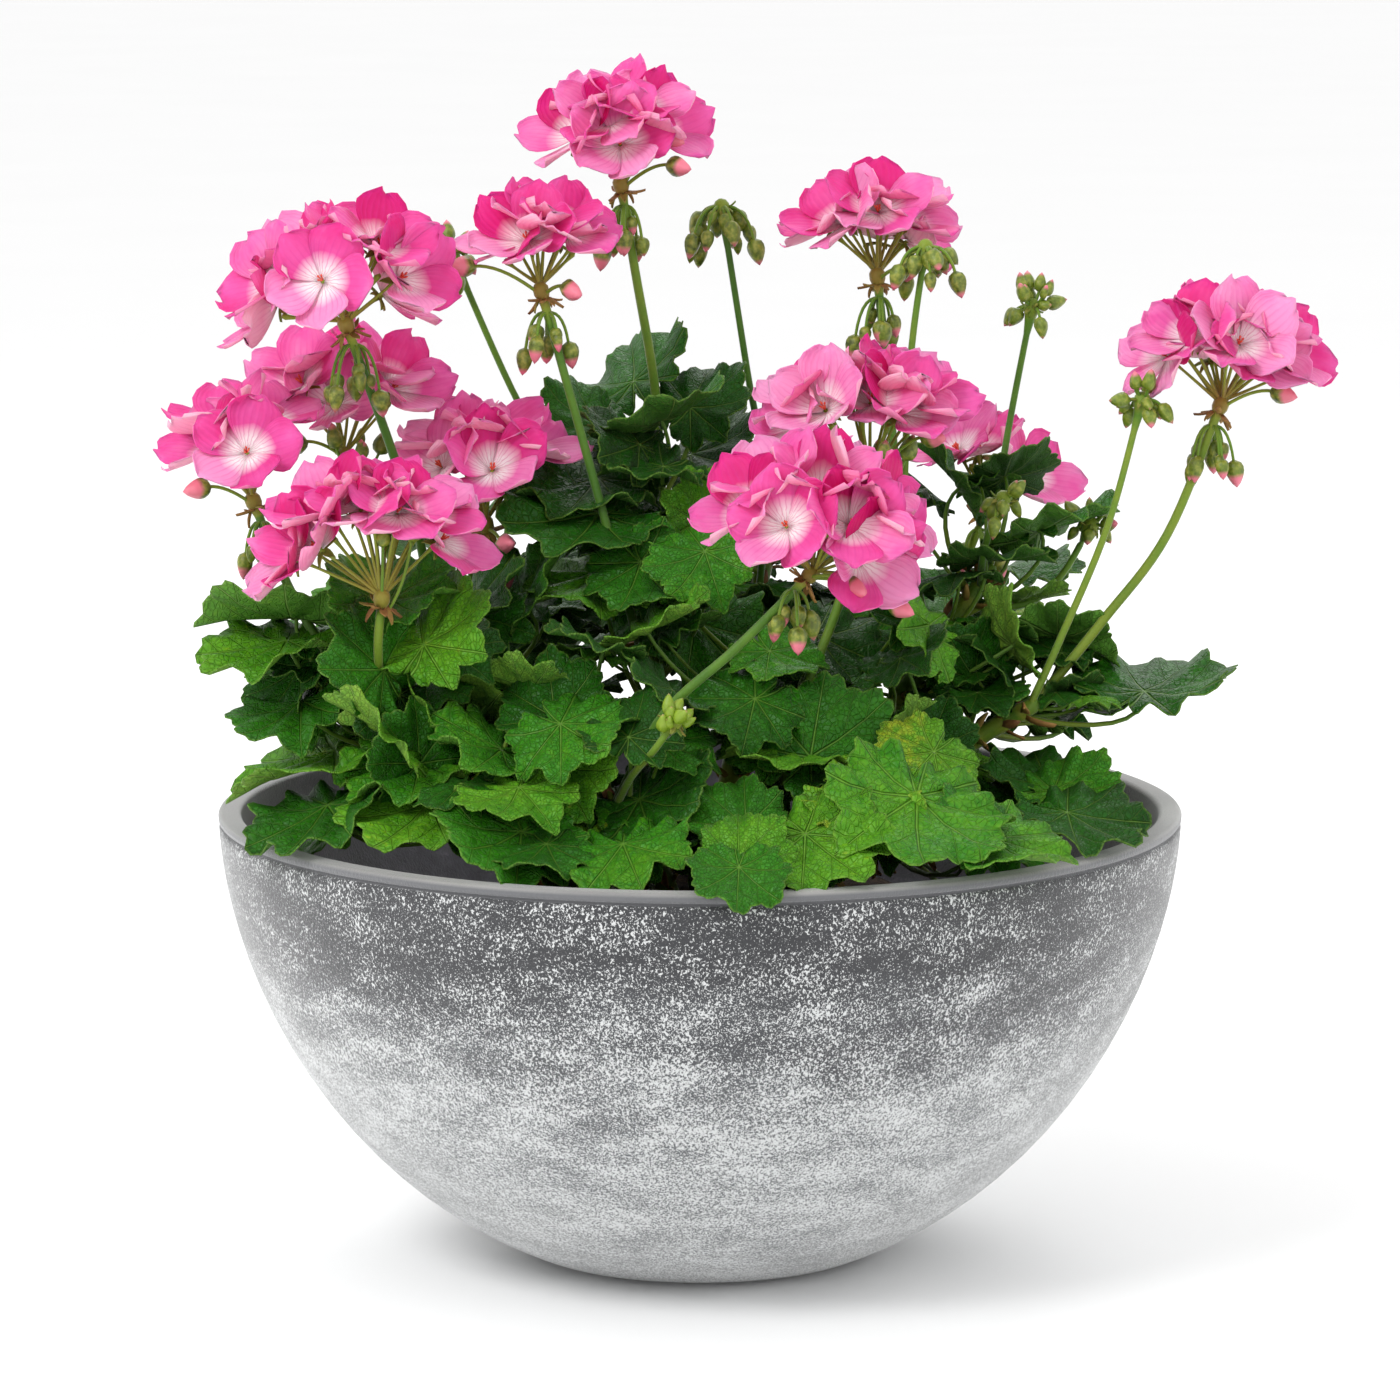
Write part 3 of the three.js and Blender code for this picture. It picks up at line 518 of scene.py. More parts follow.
# %% [markdown]
# ## Soil
# Old potting soil, shrunk well below the rim, with the root ball standing up in the middle. It
# could be a flat disc with a brown noise. From above it shows, so it gets a real mound, and
# crumbs, grit and dry bits scattered over it by a tree of their own.

# %% Peaty soil
peat, tree, shader = material("peaty_potting_soil")
place = add(tree, "ShaderNodeTexCoord", take="Object")
lumps = add(tree, "ShaderNodeTexNoise", {"Vector": place, "Scale": 140, "Detail": 5})
grit = add(
    tree, "ShaderNodeTexNoise", {"Vector": place, "Scale": 700, "Detail": 4, "Roughness": 0.7}
)
both = weighted(tree, 0.0, (lumps, 0.5), (grit, 0.5))
brown = add(
    tree, "ShaderNodeValToRGB", (both,),
    stops=((0.34, "#1d1510"), (0.5, "#3a2a1d"), (0.6, "#5b4430"), (0.72, "#8b7252")),
)
bump = add(tree, "ShaderNodeBump", {"Height": both, "Distance": 0.003, "Strength": 1.0})
tree.links.new(brown, shader.inputs["Base Color"])
tree.links.new(bump, shader.inputs["Normal"])
shader.inputs["Roughness"].default_value = 0.95

# %% The mound
SOIL_EDGE, MOUND_TOP, MOUND, GAP, STEPS = 126.0, 158.0, 75.0, 0.8, 7
low, high = 80, 140
share = (SOIL_EDGE - low) / (high - low)
edge = inside(low) + share * (inside(high) - inside(low)) - GAP
ground_line = [(0, 12.8, 0), (inside(34) - GAP, 34.8, 0), (inside(low) - GAP, low, 0)]
top_line = [
    (edge, SOIL_EDGE), ((edge + MOUND) / 2, SOIL_EDGE + 8), (MOUND, MOUND_TOP - 10),
    (MOUND / 2, MOUND_TOP), (0, MOUND_TOP + 1),
]
for (r0, h0), (r1, h1) in zip(top_line, top_line[1:]):
    ground_line += [
        (r0 + (r1 - r0) * i / STEPS, h0 + (h1 - h0) * i / STEPS, 1) for i in range(STEPS)
    ]
ground_line += [(*top_line[-1], 1)]
soil = turned("soil_mound", ground_line, 96, peat)
for vertex in soil.data.vertices:
    x, y, z = vertex.co / MM
    r, turn = math.hypot(x, y), math.atan2(y, x)
    if z > SOIL_EDGE + 0.5:
        wave = 2.2 * math.sin(3 * turn + r / 19) + 1.6 * math.sin(5 * turn - r / 11 + 1)
        lump = 2.2 * noise.noise(Vector((x, y, 0)) / 9) + 1.2 * noise.noise(Vector((x, y, 5)) / 4)
        vertex.co.z += (wave + lump) * MM * min(1, (edge - r) / 12)
hand_over(soil, "soil", "soil")

# %% The tree that scatters crumbs
WHOLE_TURN = 6.28
crumb_tree, given = new_tree(
    "crumbs over ground", Crumbs=("Collection", None), Per_square_metre=("Float", 12000.0),
    Largest=("Float", 0.004), Seed=("Int", 7), Material=("Material", None),
)
upward = add(crumb_tree, "GeometryNodeInputNormal")
upward = add(crumb_tree, "ShaderNodeSeparateXYZ", (upward,), "Z")
on_top = add(crumb_tree, "FunctionNodeCompare", (upward, 0.3), operation="GREATER_THAN")
spread = add(
    crumb_tree,
    "GeometryNodeDistributePointsOnFaces",
    {
        "Mesh": given["Geometry"],
        "Selection": on_top,
        "Density": given["Per square metre"],
        "Seed": given["Seed"],
    },
)
kinds = add(
    crumb_tree,
    "GeometryNodeCollectionInfo",
    {"Collection": given["Crumbs"], "Separate Children": True, "Reset Children": True},
)
any_turn = add(
    crumb_tree, "FunctionNodeRandomValue", {1: (WHOLE_TURN,) * 3, "Seed": given["Seed"]},
    data_type="FLOAT_VECTOR",
)
any_turn = add(crumb_tree, "FunctionNodeEulerToRotation", (any_turn,))
# A random plain number goes from input 2 to input 3, and comes out of output 1.
any_size = add(crumb_tree, "FunctionNodeRandomValue", {2: 0.3, 3: 1.0, "Seed": given["Seed"]}, 1)
any_size = add(
    crumb_tree, "ShaderNodeMath", (any_size, given["Largest"]), operation="MULTIPLY"
)
laid = add(
    crumb_tree,
    "GeometryNodeInstanceOnPoints",
    {
        "Points": spread,
        "Instance": kinds,
        "Pick Instance": True,
        "Rotation": any_turn,
        "Scale": any_size,
    },
)
end_tree(crumb_tree, laid, given["Material"], smooth=False)


# %% Crumbs over the soil
def crumb_form(seed, flatness):
    """A broken lump 1 across: a coarse ball with its points pushed about."""
    draw = draws(seed)
    places, faces, flat, more = round_form(
        4, 6, lambda share: (share - 0.5, 0.5 * math.sin(math.pi * share) + 0.001)
    )
    places = [Vector(p) * draw(0.7, 1.25) for p in places]
    return [Vector((p.x, p.y, p.z * flatness)) for p in places], faces, flat, more


crumbs = family_of("crumb", [crumb_form(21, 0.8), crumb_form(22, 0.5), crumb_form(23, 0.25)])
litter = bpy.data.objects.new("soil_crumbs", soil.data.copy())
bpy.context.scene.collection.objects.link(litter)
grow(litter, crumb_tree, Crumbs=crumbs, Per_square_metre=26000.0, Largest=0.0052, Material=peat)
hand_over(litter, "soil")

# %% [markdown]
# ## Where everything grows
# The plant's plan, repeated from the CAD source. A shoot has a branch, its spine, and a row for
# each leaf: the joint where the leaf stem meets the blade, and the tip of the blade. The three
# shoots at the back, which the photograph hides, are filled by rule with wild leaves: (count,
# seed). A stalk ends in the hub of an umbel: flowers are offsets from it, buds are (count, reach,
# drop).

# %% The plan of the shoots
SHOOTS = {
    "shoot_right": {
        "spine": ((28, -8, 138), (60, -14, 178), (98, -24, 210), (137, -30, 235)),
        "leaves": (
            ((111, -150, 202), (98, -138, 217)), ((114, -150, 201), (132, -176, 191)),
            ((80, -80, 231), (86, -88, 246)), ((92, -62, 220), (100, -55, 240)),
            ((147, -98, 202), (171, -118, 194)), ((142, -60, 206), (122, -46, 221)),
            ((143, -70, 206), (168, -76, 207)), ((114, -30, 240), (133, -36, 239)),
            ((113, -20, 244), (117, -12, 266)), ((156, 10, 229), (187, 2, 228)),
            ((150, -10, 236), (164, -20, 244)), ((183, -20, 239), (204, 12, 245)),
            ((150, 0, 252), (126, 4, 257)),
        ),
    },
    "shoot_left_front": {
        "spine": ((-30, -14, 138), (-66, -36, 180), (-104, -52, 216), (-143, -60, 248)),
        "leaves": (
            ((-112, -90, 222), (-136, -112, 216)), ((-112, -100, 222), (-127, -108, 241)),
            ((-148, -60, 221), (-176, -94, 210)), ((-123, -108, 235), (-139, -124, 253)),
            ((-104, -80, 234), (-120, -96, 250)), ((-161, -66, 242), (-181, -84, 230)),
            ((-163, -50, 254), (-176, -60, 233)), ((-167, -60, 266), (-196, -80, 258)),
            ((-126, -100, 260), (-144, -108, 281)), ((-164, -50, 274), (-192, -75, 282)),
            ((-129, -80, 285), (-150, -84, 298)),
        ),
    },
    "shoot_left_back": {
        "spine": ((-34, 8, 138), (-66, 10, 188), (-98, 14, 232), (-126, 20, 263)),
        "leaves": (
            ((-104, -50, 240), (-100, -72, 258)), ((-89, -58, 234), (-101, -78, 256)),
            ((-110, -98, 270), (-96, -82, 294)), ((-74, -30, 276), (-58, -40, 296)),
            ((-94, -40, 276), (-74, -52, 295)), ((-124, -86, 286), (-104, -78, 302)),
            ((-150, 30, 250), (-182, 44, 250)), ((-130, 52, 268), (-150, 82, 272)),
        ),
    },
    "shoot_centre_tall": {
        "spine": ((-8, 14, 138), (-16, 22, 203), (-20, 30, 268), (-17, 40, 329)),
        "leaves": (
            ((-41, -30, 290), (-62, -52, 280)), ((-24, -46, 296), (-10, -68, 280)),
            ((2, -58, 302), (-10, -74, 286)), ((-41, -20, 313), (-78, -38, 310)),
            ((0, -10, 308), (-5, -16, 329)), ((-42, 0, 325), (-76, -18, 323)),
            ((-15, -10, 331), (-34, -28, 328)), ((-4, 60, 328), (24, 54, 339)),
            ((-25, 0, 339), (-48, -10, 350)), ((-42, 30, 344), (-65, 34, 354)),
            ((-4, 40, 350), (17, 46, 365)), ((-16, 10, 348), (-10, -22, 358)),
            ((-28, 60, 359), (-30, 92, 372)),
        ),
    },
    "shoot_front_low": {
        "spine": ((-8, -28, 138), (-16, -56, 168), (-26, -86, 190), (-34, -110, 205)),
        "leaves": (
            ((-30, -158, 200), (-24, -188, 193)), ((-24, -120, 211), (0, -142, 210)),
            ((-57, -120, 225), (-33, -136, 224)), ((-55, -124, 242), (-36, -146, 235)),
            ((-58, -108, 242), (-60, -88, 260)), ((-28, -138, 239), (-22, -118, 252)),
            ((-11, -100, 252), (-26, -118, 260)), ((-38, -88, 268), (-52, -106, 276)),
        ),
    },
    "shoot_centre": {
        "spine": ((14, -18, 138), (24, -34, 178), (34, -50, 214), (41, -60, 242)),
        "leaves": (
            ((18, -146, 205), (2, -136, 219)), ((40, -98, 229), (20, -122, 224)),
            ((44, -108, 226), (72, -92, 242)), ((22, -98, 248), (0, -112, 239)),
            ((28, -76, 264), (42, -92, 254)), ((61, -40, 244), (84, -50, 255)),
            ((-22, -78, 273), (-4, -98, 283)), ((48, -16, 262), (66, -36, 244)),
            ((-2, -8, 266), (18, -30, 250)), ((-14, -14, 290), (4, -36, 276)),
        ),
    },
    "shoot_right_back": {
        "spine": ((24, 10, 138), (58, 12, 193), (92, 16, 242), (121, 20, 284)),
        "leaves": (
            ((81, -68, 260), (99, -80, 269)), ((93, -58, 272), (74, -74, 293)),
            ((129, -20, 258), (122, -34, 278)), ((150, 12, 257), (165, -8, 265)),
            ((130, 30, 269), (152, 20, 275)), ((119, 10, 290), (140, -8, 296)),
            ((142, 20, 301), (168, 8, 317)), ((109, 28, 318), (96, 14, 334)),
            ((128, 40, 321), (144, 30, 334)),
        ),
    },
    "shoot_back": {
        "spine": ((4, 34, 138), (14, 62, 193), (22, 92, 244), (30, 120, 288)),
        "wild": (6, 811),
    },
    "shoot_back_left": {
        "spine": ((-24, 30, 138), (-54, 58, 182), (-84, 86, 224), (-110, 110, 258)),
        "wild": (6, 907),
    },
    "shoot_back_right": {
        "spine": ((28, 30, 138), (56, 58, 180), (86, 90, 220), (115, 120, 253)),
        "wild": (6, 1013),
    },
    "shoot_right_low": {
        "spine": ((20, -30, 138), (44, -64, 166), (68, -98, 186), (90, -126, 200)),
        "leaves": (
            ((15, -176, 197), (30, -166, 210)), ((15, -192, 197), (14, -211, 184)),
            ((41, -164, 205), (62, -188, 194)), ((59, -140, 219), (84, -155, 213)),
            ((85, -148, 217), (84, -184, 194)), ((93, -108, 228), (79, -128, 217)),
        ),
    },
    "shoot_left_low": {
        "spine": ((-22, -30, 138), (-46, -62, 168), (-70, -92, 192), (-91, -118, 210)),
        "leaves": (
            ((-60, -158, 200), (-71, -180, 194)), ((-70, -148, 203), (-94, -172, 195)),
            ((-71, -138, 219), (-78, -164, 211)), ((-107, -108, 208), (-126, -138, 195)),
            ((-149, -98, 205), (-163, -128, 193)), ((-79, -108, 229), (-101, -124, 239)),
            ((-68, -88, 251), (-76, -104, 263)),
        ),
    },
}
print(len(SHOOTS), "shoots")

# %% The plan of the flower stalks
STALKS = {
    "high_left": {
        "stalk": ((-118, 10, 260), (-113, -14, 288), (-123, -35, 333), (-143, -50, 394)),
        "flowers": (
            (-9, -30, 22), (16, -6, 36), (2, 6, 38), (-34, -8, 20), (-22, 8, 34), (-36, 6, 9),
            (27, -8, 22), (20, 14, 14),
        ),
        "buds": (3, (8, 14), (12, 20)),
    },
    "left_behind": {
        "stalk": ((-120, 20, 264), (-128, 17, 288), (-138, 13, 310), (-147, 10, 334)),
        "flowers": (
            (-21, -6, 35), (-5, -10, 27), (15, 6, 40), (24, -4, 33), (-12, 8, 42),
        ),
        "buds": (2, (10, 14), (-14, -8)),
    },
    "far_left": {
        "stalk": ((-145, -58, 252), (-158, -53, 270), (-170, -46, 292), (-182, -40, 321)),
        "flowers": (
            (-1, -22, 25), (-20, 2, 25), (8, 10, 38), (-14, 8, 36),
        ),
        "buds": (3, (7, 13), (10, 17)),
    },
    "front_left": {
        "stalk": ((-120, -62, 234), (-127, -84, 246), (-128, -104, 268), (-126, -110, 291)),
        "flowers": (
            (-9, -10, 42), (8, -12, 39), (-24, -2, 38), (20, 0, 38), (-30, -8, 24), (28, 4, 26),
            (-40, 0, 17), (-5, 12, 44), (12, 14, 42),
        ),
        "buds": (1, (16, 18), (-34, -30)),
    },
    "left_middle": {
        "stalk": ((-84, 12, 220), (-86, 2, 250), (-84, -10, 284), (-88, -20, 309)),
        "flowers": (
            (4, -16, 28), (-22, -4, 28), (-16, 6, 37), (3, 8, 41), (20, 8, 35),
        ),
        "buds": (1, (7, 8), (8, 9)),
    },
    "high_middle_left": {
        "stalk": ((-22, 22, 240), (-30, -26, 278), (-45, -25, 333), (-65, -20, 405)),
        "flowers": (
            (-7, -8, 26), (2, 4, 31), (13, 1, 28), (-14, 4, 23), (10, 12, 26),
        ),
        "buds": (3, (8, 14), (8, 17)),
    },
    "top": {
        "stalk": ((-17, 38, 326), (-19, 36, 360), (-27, 32, 408), (-33, 30, 445)),
        "flowers": (
            (-21, -4, 23), (-6, -9, 30), (8, -2, 36), (19, 0, 27), (-9, 9, 38), (0, -16, 20),
        ),
        "buds": (3, (6, 12), (8, 18)),
    },
    "high_right": {
        "stalk": ((96, 16, 250), (83, 30, 318), (78, 38, 368), (74, 40, 406)),
        "flowers": (
            (0, -9, 31), (-17, -6, 27), (-24, 8, 27), (17, 4, 27), (10, 10, 35), (2, 15, 21),
            (19, 12, 18),
        ),
        "buds": (3, (8, 14), (8, 17)),
    },
    "far_right": {
        "stalk": ((139, -17, 234), (166, -8, 266), (193, -4, 302), (215, 0, 356)),
        "flowers": (
            (-27, -4, 23), (-16, -10, 33), (7, -18, 31), (-6, 8, 26), (2, 8, 42), (21, 6, 36),
            (30, -4, 24), (15, -12, 25),
        ),
        "buds": (4, (7, 14), (9, 18)),
    },
    "right_middle": {
        "stalk": ((42, -60, 245), (55, -52, 276), (64, -44, 306), (69, -40, 330)),
        "flowers": (
            (-21, -16, 33), (0, -8, 38), (15, -10, 33), (-30, 6, 38), (-8, 10, 42), (11, 8, 41),
            (24, 2, 36), (-36, -2, 24),
        ),
        "buds": (1, (20, 21), (-18, -17)),
    },
    "front_right": {
        "stalk": ((-33, -112, 209), (-14, -137, 248), (14, -137, 274), (44, -130, 303)),
        "flowers": (
            (-12, -26, 24), (17, -24, 25), (-30, -6, 29), (22, -20, 9), (33, -4, 26), (-18, 0, 40),
            (4, -6, 40), (22, 2, 37),
        ),
        "buds": (3, (6, 16), (8, 14)),
    },
    "right_behind": {
        "stalk": ((102, 106, 238), (106, 100, 256), (114, 95, 278), (123, 90, 301)),
        "flowers": (
            (-15, 4, 30), (20, -4, 18), (-4, 9, 31),
        ),
        "buds": (2, (7, 12), (7, 12)),
    },
    "bud_high_left": {
        "stalk": ((-19, 34, 286), (-52, 50, 314), (-76, 58, 349), (-105, 60, 414)),
        "buds": (5, (6, 13), (-6, 11)),
    },
    "bud_high_middle": {
        "stalk": ((24, 92, 250), (28, 68, 313), (20, 61, 363), (9, 60, 433)),
        "buds": (6, (9, 18), (2, 18)),
    },
    "bud_high_right": {
        "stalk": ((80, 14, 228), (84, 6, 308), (87, 8, 373), (93, 10, 420)),
        "buds": (5, (8, 17), (0, 15)),
    },
    "bud_right_back": {
        "stalk": ((121, 21, 286), (125, 44, 310), (131, 56, 344), (140, 60, 391)),
        "buds": (5, (8, 12), (-7, 6)),
    },
    "bud_right_tall": {
        "stalk": ((136, -31, 236), (148, -27, 262), (167, -24, 308), (181, -20, 360)),
        "buds": (5, (7, 13), (-6, 6)),
    },
    "bud_right_short": {
        "stalk": ((110, 18, 268), (136, 25, 269), (151, 29, 280), (164, 30, 302)),
        "buds": (4, (7, 11), (-6, 3)),
    },
    "bud_right_hidden": {
        "stalk": ((117, 14, 279), (117, 0, 291), (120, -7, 306), (125, -10, 318)),
        "buds": (3, (6, 11), (-4, 10)),
    },
    "bud_front": {
        "stalk": ((-34, -112, 206), (-27, -130, 222), (-18, -146, 235), (-10, -150, 247)),
        "buds": (4, (4, 7), (-4, 4)),
    },
    "bud_nodding": {
        "stalk": ((-114, 16, 250), (-96, 2, 278), (-96, -2, 306), (-105, 0, 320)),
        "buds": (3, (4, 8), (2, 8)),
    },
}
print(len(STALKS), "stalks")

# %% The blades of all leaves
UP = Vector((0, 0, 1))
GOLDEN_ANGLE = math.pi * (3 - math.sqrt(5))
CROWN_MIDDLE, STEEP_BELOW, FLAT_TIP_BEYOND = 70, 226, (170, 230)


def wild_rows(shoot):
    """Joints and tips of leaves drawn by rule, turned by the golden angle as the plant does it."""
    count, seed = shoot["wild"]
    draw = draws(seed)
    rows = []
    for i in range(count):
        root = along(shoot["spine"], 0.4 + 0.6 * i / (count - 1))
        turn = GOLDEN_ANGLE * i + seed
        climb, length, reach = draw(0.3, 0.8), draw(30, 46), draw(27, 37)
        out = Vector((math.cos(turn), math.sin(turn), 0))
        joint = root + out * length * math.cos(climb) + UP * length * math.sin(climb)
        rows.append((joint, joint + out * reach - UP * reach * draw(0.05, 0.35)))
    return rows


def leaf_rows():
    """Every leaf: its joint, forward, facing, reach, and where its stem leaves the branch."""
    found = []
    for number, shoot in enumerate(SHOOTS.values()):
        rows = [(Vector(joint), Vector(tip)) for joint, tip in shoot.get("leaves", ())]
        rows += wild_rows(shoot) if "wild" in shoot else []
        draw = draws(151 + number)
        for i, (joint, tip) in enumerate(rows):
            forward = tip - joint
            reach = 1.12 * forward.length
            forward.normalize()
            outward = Vector((joint.x, joint.y - CROWN_MIDDLE, 0)).normalized()
            lean = draw(0.3, 0.85) if joint.z > STEEP_BELOW else draw(0.75, 1.3)
            if joint.x > FLAT_TIP_BEYOND[0] and joint.z > FLAT_TIP_BEYOND[1]:
                lean = 0.05
            facing = UP + lean * outward
            facing = (facing - forward * facing.dot(forward)).normalized()
            root = along(shoot["spine"], 0.4 + 0.58 * i / (len(rows) - 1))
            found.append((joint, forward, facing, reach, root))
    return found


leaves = leaf_rows()
print(len(leaves), "leaves")

# %% [markdown]
# ## Branches and leaf stems
# The branches are as thick as a finger's tip, yellow-green, ringed where old leaves stood. Leaf
# stems are thin and long, and arch up under the blade. All of them are tubes from one tree; a
# ring on a branch is just a few points with more thickness and a browner tint.

# %% Green and woody stems
green_stem, tree, shader = material("downy_green_stem")
place = add(tree, "ShaderNodeTexCoord", take="Object")
tint = add(tree, "ShaderNodeAttribute", take="Fac", attribute_name="tint")
mottled = add(tree, "ShaderNodeTexNoise", {"Vector": place, "Scale": 90, "Detail": 4})
down = add(tree, "ShaderNodeTexNoise", {"Vector": place, "Scale": 900, "Detail": 2})
tint = weighted(tree, -0.17, (tint, 1), (mottled, 0.35))
green = add(
    tree, "ShaderNodeValToRGB", (tint,),
    stops=(
        (0.0, "#2c5a15"), (0.3, "#5c8220"), (0.55, "#86932c"), (0.8, "#8d7230"), (1.0, "#684829"),
    ),
)
bump = add(tree, "ShaderNodeBump", {"Height": down, "Distance": 0.0003, "Strength": 1.0})
tree.links.new(green, shader.inputs["Base Color"])
tree.links.new(bump, shader.inputs["Normal"])
shader.inputs["Roughness"].default_value = 0.5
shader.inputs["Sheen Weight"].default_value = 0.3
shader.inputs["Sheen Roughness"].default_value = 0.4
shader.inputs["Specular IOR Level"].default_value = 0.3

# %% Branches, with their rings
RINGS = (0.3, 0.45, 0.58, 0.7, 0.8, 0.89, 0.96)
branch_paths = []
for shoot in SHOOTS.values():
    path = []
    for i in range(49):
        share = i / 48
        radius = 5.2 - 1.9 * share * share
        near = min(abs(share - ring_at) for ring_at in RINGS)
        swell = max(0, 1 - near / 0.022)
        path.append((along(shoot["spine"], share), radius + 0.7 * swell, 0.32 + 0.32 * swell))
    path.append((along(shoot["spine"], 1) + (path[-1][0] - path[-2][0]) * 0.8, 1.6, 0.3))
    branch_paths.append(path)
hand_over(stems("branches", branch_paths, 12, green_stem), "stalk")

# %% Leaf stems
leaf_stem_paths = []
for joint, forward, facing, reach, root in leaves:
    bend = joint - facing * 0.4 * (joint - root).length
    path = []
    for i in range(9):
        share = i / 8
        radius = 1.25 - 0.45 * share + 0.8 * max(0, 1 - share / 0.12)
        path.append((arched(root, bend, joint, share), radius, 0.18 + 0.3 * (1 - share)))
    leaf_stem_paths.append(path)
hand_over(stems("leaf_stems", leaf_stem_paths, 7, green_stem), "stalk")

# %% [markdown]
# ## Leaves
# A geranium leaf is round to kidney-shaped. Veins fan out from the top of its stem, each runs
# into a shallow lobe, and the whole edge is cut into small rounded teeth and waves up and down. A
# flat card with a leaf picture is the usual quick way; here the outline, the folds along the
# veins and the waves are in the mesh, so that the leaf is right from the side as well. Eight
# forms are enough, because each one is turned, sized and tinted anew.

# %% Leaf forms
VEIN_STEP = 0.74
TOOTH_EVERY, CUT, BETWEEN_CUTS = 3, -0.045, 0.012


def leaf_form(seed, spokes=90, circles=(0.36, 0.7, 1.0)):
    """A leaf 1 long from its joint, in the XY plane, with its stem's joint at the origin."""
    draw = draws(seed)
    cup, wave = draw(-0.26, 0.2), draw(0.09, 0.19)
    phase, ruffle = draw(0, WHOLE_TURN), draw(0, WHOLE_TURN)
    lobes, pleat, flutter = draw(0.06, 0.11), draw(0.13, 0.22), draw(0.045, 0.085)
    places, flat, edge = [Vector((0, 0, 0))], [(0.5, 0.5)], [0.0]
    for circle_share in circles:
        for spoke in range(spokes):
            turn = 2 * math.pi * (spoke + 0.5) / spokes - math.pi
            gap = math.pi - abs(turn)
            on_vein = math.cos(2 * math.pi * turn / VEIN_STEP)
            reach = (0.78 + 0.2 * math.cos(turn)) * (1 + lobes * on_vein)
            reach *= 0.28 + 0.72 * min(1, gap / 0.5) ** 0.5
            tooth = CUT if spoke % TOOTH_EVERY == 0 else BETWEEN_CUTS
            r = circle_share * reach * (1 + tooth * circle_share**8 + draw(-0.01, 0.01))
            z = cup * r * r + wave * r * math.sin(2 * turn + phase) * circle_share
            z += 1.3 * flutter * r**3 * math.sin(5 * turn + ruffle)
            z += flutter * circle_share**4 * math.sin(11 * turn + phase)
            z -= pleat * r * (1.1 - 0.65 * circle_share) * (0.5 + 0.5 * on_vein)
            places.append(Vector((r * math.cos(turn), r * math.sin(turn), z)))
            flat.append((0.5 + places[-1].x / 2.6, 0.5 + places[-1].y / 2.6))
            edge.append(circle_share)
    faces = [(0, 1 + s, 1 + (s + 1) % spokes) for s in range(spokes)]
    for c in range(len(circles) - 1):
        a, b = 1 + c * spokes, 1 + (c + 1) * spokes
        faces += [
            (a + s, b + s, b + (s + 1) % spokes, a + (s + 1) % spokes) for s in range(spokes)
        ]
    return places, faces, flat, {"edge": edge}


leaf_forms = family_of("leaf", [leaf_form(seed) for seed in range(41, 49)])

# %% [markdown]
# ### Leaf blade
# A living geranium leaf has a soft waxy skin: deep green with a dull sheen, paler along its veins
# and its thin edge, and lighter and matt underneath. The veins are drawn on the leaf's own flat
# map, which puts the joint at the middle: the angle gives the nearest vein, and the distance
# along and across it gives the vein and its side branches.


# %% Leaf veins
def leaf_veins(tree):
    """How much of a vein there is, from 0 to 1, on a leaf's own map."""
    flat = add(tree, "ShaderNodeUVMap", uv_map="UVMap")
    flat = add(
        tree, "ShaderNodeMapping",
        {"Vector": flat, "Location": (-1.3, -1.3, 0), "Scale": (2.6, 2.6, 2.6)},
    )
    x, y = (add(tree, "ShaderNodeSeparateXYZ", (flat,), take=axis) for axis in "XY")
    r = add(tree, "ShaderNodeVectorMath", (flat,), "Value", operation="LENGTH")
    turn = add(tree, "ShaderNodeMath", (y, x), operation="ARCTAN2")
    turn = add(tree, "ShaderNodeMath", (turn, VEIN_STEP), operation="DIVIDE")
    nearest = add(tree, "ShaderNodeMath", (turn,), operation="ROUND")
    off = weighted(tree, 0.0, (turn, VEIN_STEP), (nearest, -VEIN_STEP))
    beside, length = (
        add(tree, "ShaderNodeMath", (off,), operation=wave) for wave in ("SINE", "COSINE")
    )
    beside = add(tree, "ShaderNodeMath", (beside,), operation="ABSOLUTE")
    beside = add(tree, "ShaderNodeMath", (r, beside), operation="MULTIPLY")
    length = add(tree, "ShaderNodeMath", (r, length), operation="MULTIPLY")
    across = add(
        tree, "ShaderNodeMath", (beside, weighted(tree, 0.024, (r, -0.014))), operation="DIVIDE"
    )
    ladder = weighted(tree, 0.0, (length, 3.4), (beside, -1.3 * 3.4))
    ladder = add(tree, "ShaderNodeMath", (ladder,), operation="FRACT")
    ladder = add(tree, "ShaderNodeMath", (ladder, 0.5), operation="SUBTRACT")
    ladder = add(tree, "ShaderNodeMath", (ladder,), operation="ABSOLUTE")
    net = add(
        tree, "ShaderNodeTexVoronoi", {"Vector": flat, "Scale": 17.0}, "Distance",
        feature="DISTANCE_TO_EDGE",
    )
    # Main veins are the strongest, then their side branches, then the fine net between them.
    veins = 0.0
    for away, low, high, strength in (
        (across, 0.3, 1.0, 1.0), (ladder, 0.01, 0.06, 0.4), (net, 0.0, 0.12, 0.2),
    ):
        vein = add(
            tree, "ShaderNodeMapRange",
            {"Value": away, "From Min": low, "From Max": high, "To Min": strength, "To Max": 0.0},
        )
        veins = add(tree, "ShaderNodeMath", (veins, vein), operation="MAXIMUM")
    return veins


